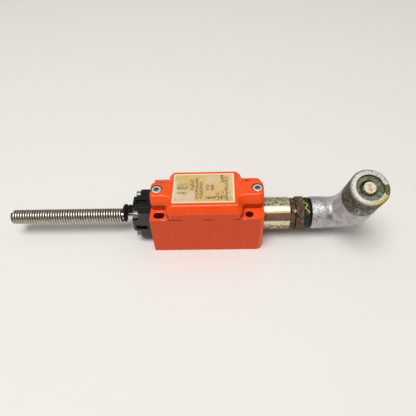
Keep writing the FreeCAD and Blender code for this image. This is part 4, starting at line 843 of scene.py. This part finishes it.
# Painted shade: the nut's foot is coloured near black.
nut_foot_shade = along_outlet.rise(29.2, 28.4)
side_colour = gland.mix(nut_foot_shade * 0.8, side_colour, GLAND_FOOT_SHADE)
face = along_outlet.rise(GLAND_FACE - 1.2, GLAND_FACE - 0.6)
face_colour = gland.mix(gland.noise(1.3, 4.0).rise(0.46, 0.62) * 0.8, FACE_BARE, FACE_GREY)
cream = (gland.x - OUTLET_X).rise(1.0, -6.0) * from_outlet.rise(10.6, 9.9)
face_colour = gland.mix(cream * 0.7, face_colour, FACE_CREAM)
yellow = (gland.x - OUTLET_X + across_outlet * -1.0).rise(9.0, 12.0) * from_outlet.rise(9.3, 10.0)
yellow = yellow * (gland.x - OUTLET_X).rise(-2.0, 1.0) * gland.noise(0.8, 3.0).rise(0.34, 0.46)
face_colour = gland.mix(yellow * across_outlet.rise(-2.0, -4.5), face_colour, FACE_YELLOW)
# Painted shade: a dark outline round the rim of the face.
face_colour = gland.mix(from_outlet.rise(11.2, 11.7) * 0.7, face_colour, FACE_RIM_SHADE)
gland_colour = gland.mix(face, side_colour, face_colour)
from_lump = gland.away(OUTLET_X + 9.9, -20.4, AXIS_HEIGHT + 42.4) + (gland.noise(0.8, 3.0) - 0.5) * 3.0
lump = from_lump.rise(3.4, 2.6)
lump_colour = gland.mix(gland.noise(1.2, 3.0).rise(0.42, 0.58), LUMP_DARK, LUMP_PALE)
gland_colour = gland.mix(lump, gland_colour, lump_colour)
gland_metal = 0.35 + face * 0.10 - lump * 0.3
gland.finish(gland_colour, 0.38 + (1 - face) * 0.2 + lump * 0.2, metallic=gland_metal)
gland.relief(gland.noise(1.6, 5.0) * 0.30 + lump * 0.8, 1.0)
dress(gland, "gland_nut", "gland_washer")

BUSHING_OLIVE = rgb(78, 88, 54)
BUSHING_GREY = rgb(122, 128, 104)
SCRATCH_PALE = rgb(150, 156, 138)
SCRATCH_DARK = rgb(38, 46, 26)
HOLLOW_SHADOW = rgb(12, 12, 10)

bushing = Finish("bushing_rubber")
bushing_tilted = (bushing.z - AXIS_HEIGHT) * math.sin(OUTLET_TILT) + bushing.y * math.cos(OUTLET_TILT)
bushing_turn = bushing.maths("ARCTAN2", bushing_tilted, bushing.x - OUTLET_X)
bushing_reach = ((bushing.x - OUTLET_X) ** 2 + bushing_tilted ** 2) ** 0.5
ray_place = bushing.add("ShaderNodeCombineXYZ", {}, {0: bushing_turn * 5.0, 1: bushing_reach * 0.25})
rays = bushing.noise(1.0, 3.0, place=ray_place)
bushing_colour = bushing.mix(bushing.noise(0.5, 3.0).rise(0.36, 0.66), BUSHING_OLIVE, BUSHING_GREY)
bushing_colour = bushing.mix(rays.rise(0.55, 0.68) * 0.6, bushing_colour, SCRATCH_PALE)
bushing_colour = bushing.mix(rays.rise(0.42, 0.32) * 0.7, bushing_colour, SCRATCH_DARK)
# Painted shadow: a black crescent in the hollow beside the cable.
hollow = bushing_reach.rise(6.1, 5.2) * (bushing_tilted - (bushing.x - OUTLET_X)).rise(-1.0, 3.5)
bushing_colour = bushing.mix(hollow * 0.95, bushing_colour, HOLLOW_SHADOW)
bushing.finish(bushing_colour, 0.6)
bushing.relief(bushing.noise(1.3, 4.0) * 0.4 + rays * 0.3, 1.0)
dress(bushing, "gland_bushing")

JACKET_CREAM = rgb(236, 224, 198)
JACKET_GREY = rgb(200, 192, 158)
JACKET_SHADE = rgb(130, 130, 96)
COPPER_PALE = rgb(232, 196, 176)
COPPER_WARM = rgb(220, 168, 138)
JACKET_LOBES = 12

jacket = Finish("cable_jacket")
jacket_tilted = (jacket.z - AXIS_HEIGHT) * math.sin(OUTLET_TILT) + jacket.y * math.cos(OUTLET_TILT)
jacket_turn = jacket.maths("ARCTAN2", jacket_tilted, jacket.x - OUTLET_X)
jacket_reach = ((jacket.x - OUTLET_X) ** 2 + jacket_tilted ** 2) ** 0.5
scallops = (jacket_turn * (JACKET_LOBES / math.tau)).zigzag()
jacket_colour = jacket.mix(jacket.noise(0.9, 4.0).rise(0.4, 0.66), JACKET_CREAM, JACKET_GREY)
lobe_gaps = (jacket_reach + scallops * 0.7).rise(3.75, 4.3)
jacket_colour = jacket.mix(lobe_gaps * 0.6, jacket_colour, JACKET_SHADE)
jacket.finish(jacket_colour, 0.6)
jacket.relief(jacket.noise(2.0, 3.0) * 0.1 - lobe_gaps * 0.3, 1.0)
dress(jacket, "cable")

copper = Finish("copper", metallic=0.3)
copper.finish(copper.mix(copper.noise(2.5, 3.0).rise(0.4, 0.6), COPPER_PALE, COPPER_WARM), 0.4)
copper.relief(copper.cells(2.2) * 0.2, 1.0)
dress(copper, "cable_core_front", "cable_core_back")


# Core strands: each copper core is frayed at the cut, so that its seven strands spread over the jacket

STRAND_RADIUS = 0.38
STRAND_SPREAD = 0.78
STRAND_RISE = 0.35
STRANDS_ROUND = 6
STRAND_SIDES = 10
CORE_SPREAD = 1.25
CABLE_TOP = GLAND_FACE - 0.3

strands = bmesh.new()
strand_places = [(0.0, 0.0)]
for number in range(STRANDS_ROUND):
    turn = number * math.tau / STRANDS_ROUND
    strand_places.append((STRAND_SPREAD * math.cos(turn), STRAND_SPREAD * math.sin(turn)))
for core_y in (-CORE_SPREAD, CORE_SPREAD):
    for across, along in strand_places:
        top = Matrix.Translation((OUTLET_X + across, core_y + along, CABLE_TOP + STRAND_RISE / 2 - 0.05))
        bmesh.ops.create_cone(strands, cap_ends=True, segments=STRAND_SIDES, radius1=STRAND_RADIUS,
                              radius2=STRAND_RADIUS * 0.7, depth=STRAND_RISE, matrix=top)
bmesh.ops.rotate(strands, verts=strands.verts, cent=(0, 0, 0), matrix=outlet_lean)
core_strands = piece("core_strands", strands, "case", copper)


# Contact block and plunger: moulded parts, brass contacts and plated screws inside the closed housing


def plain(name, first, second, roughness, metallic=0.0, grain=1.0):
    """A clean moulded or plated finish with a little clouding."""
    made = Finish(name, metallic=metallic)
    made.finish(made.mix(made.noise(grain, 3.0).rise(0.4, 0.65), first, second), roughness)
    return made.relief(made.noise(grain * 3, 2.0) * 0.02, 1.0)


def nodes_named(*starts):
    return [name for name in nodes if name.startswith(starts)]


dress(plain("brown_plastic", rgb(92, 62, 44), rgb(78, 52, 38), 0.45), "block_base")
dress(plain("clear_plastic", rgb(206, 212, 212), rgb(190, 198, 198), 0.25), "block_lid")
dress(plain("white_plastic", rgb(226, 226, 220), rgb(212, 212, 204), 0.4), "contact_slider", "plunger")
dress(plain("brass", rgb(204, 170, 96), rgb(184, 148, 78), 0.3, metallic=1.0),
      *nodes_named("fixed_contact", "bridge_break", "bridge_make"), "earth_screw", "plunger_bush")
dress(plain("inner_steel", rgb(190, 190, 188), rgb(160, 160, 158), 0.3, metallic=1.0),
      *nodes_named("bridge_spring", "clamp_plate", "terminal_screw", "block_screw"),
      "slider_spring", "plunger_spring")
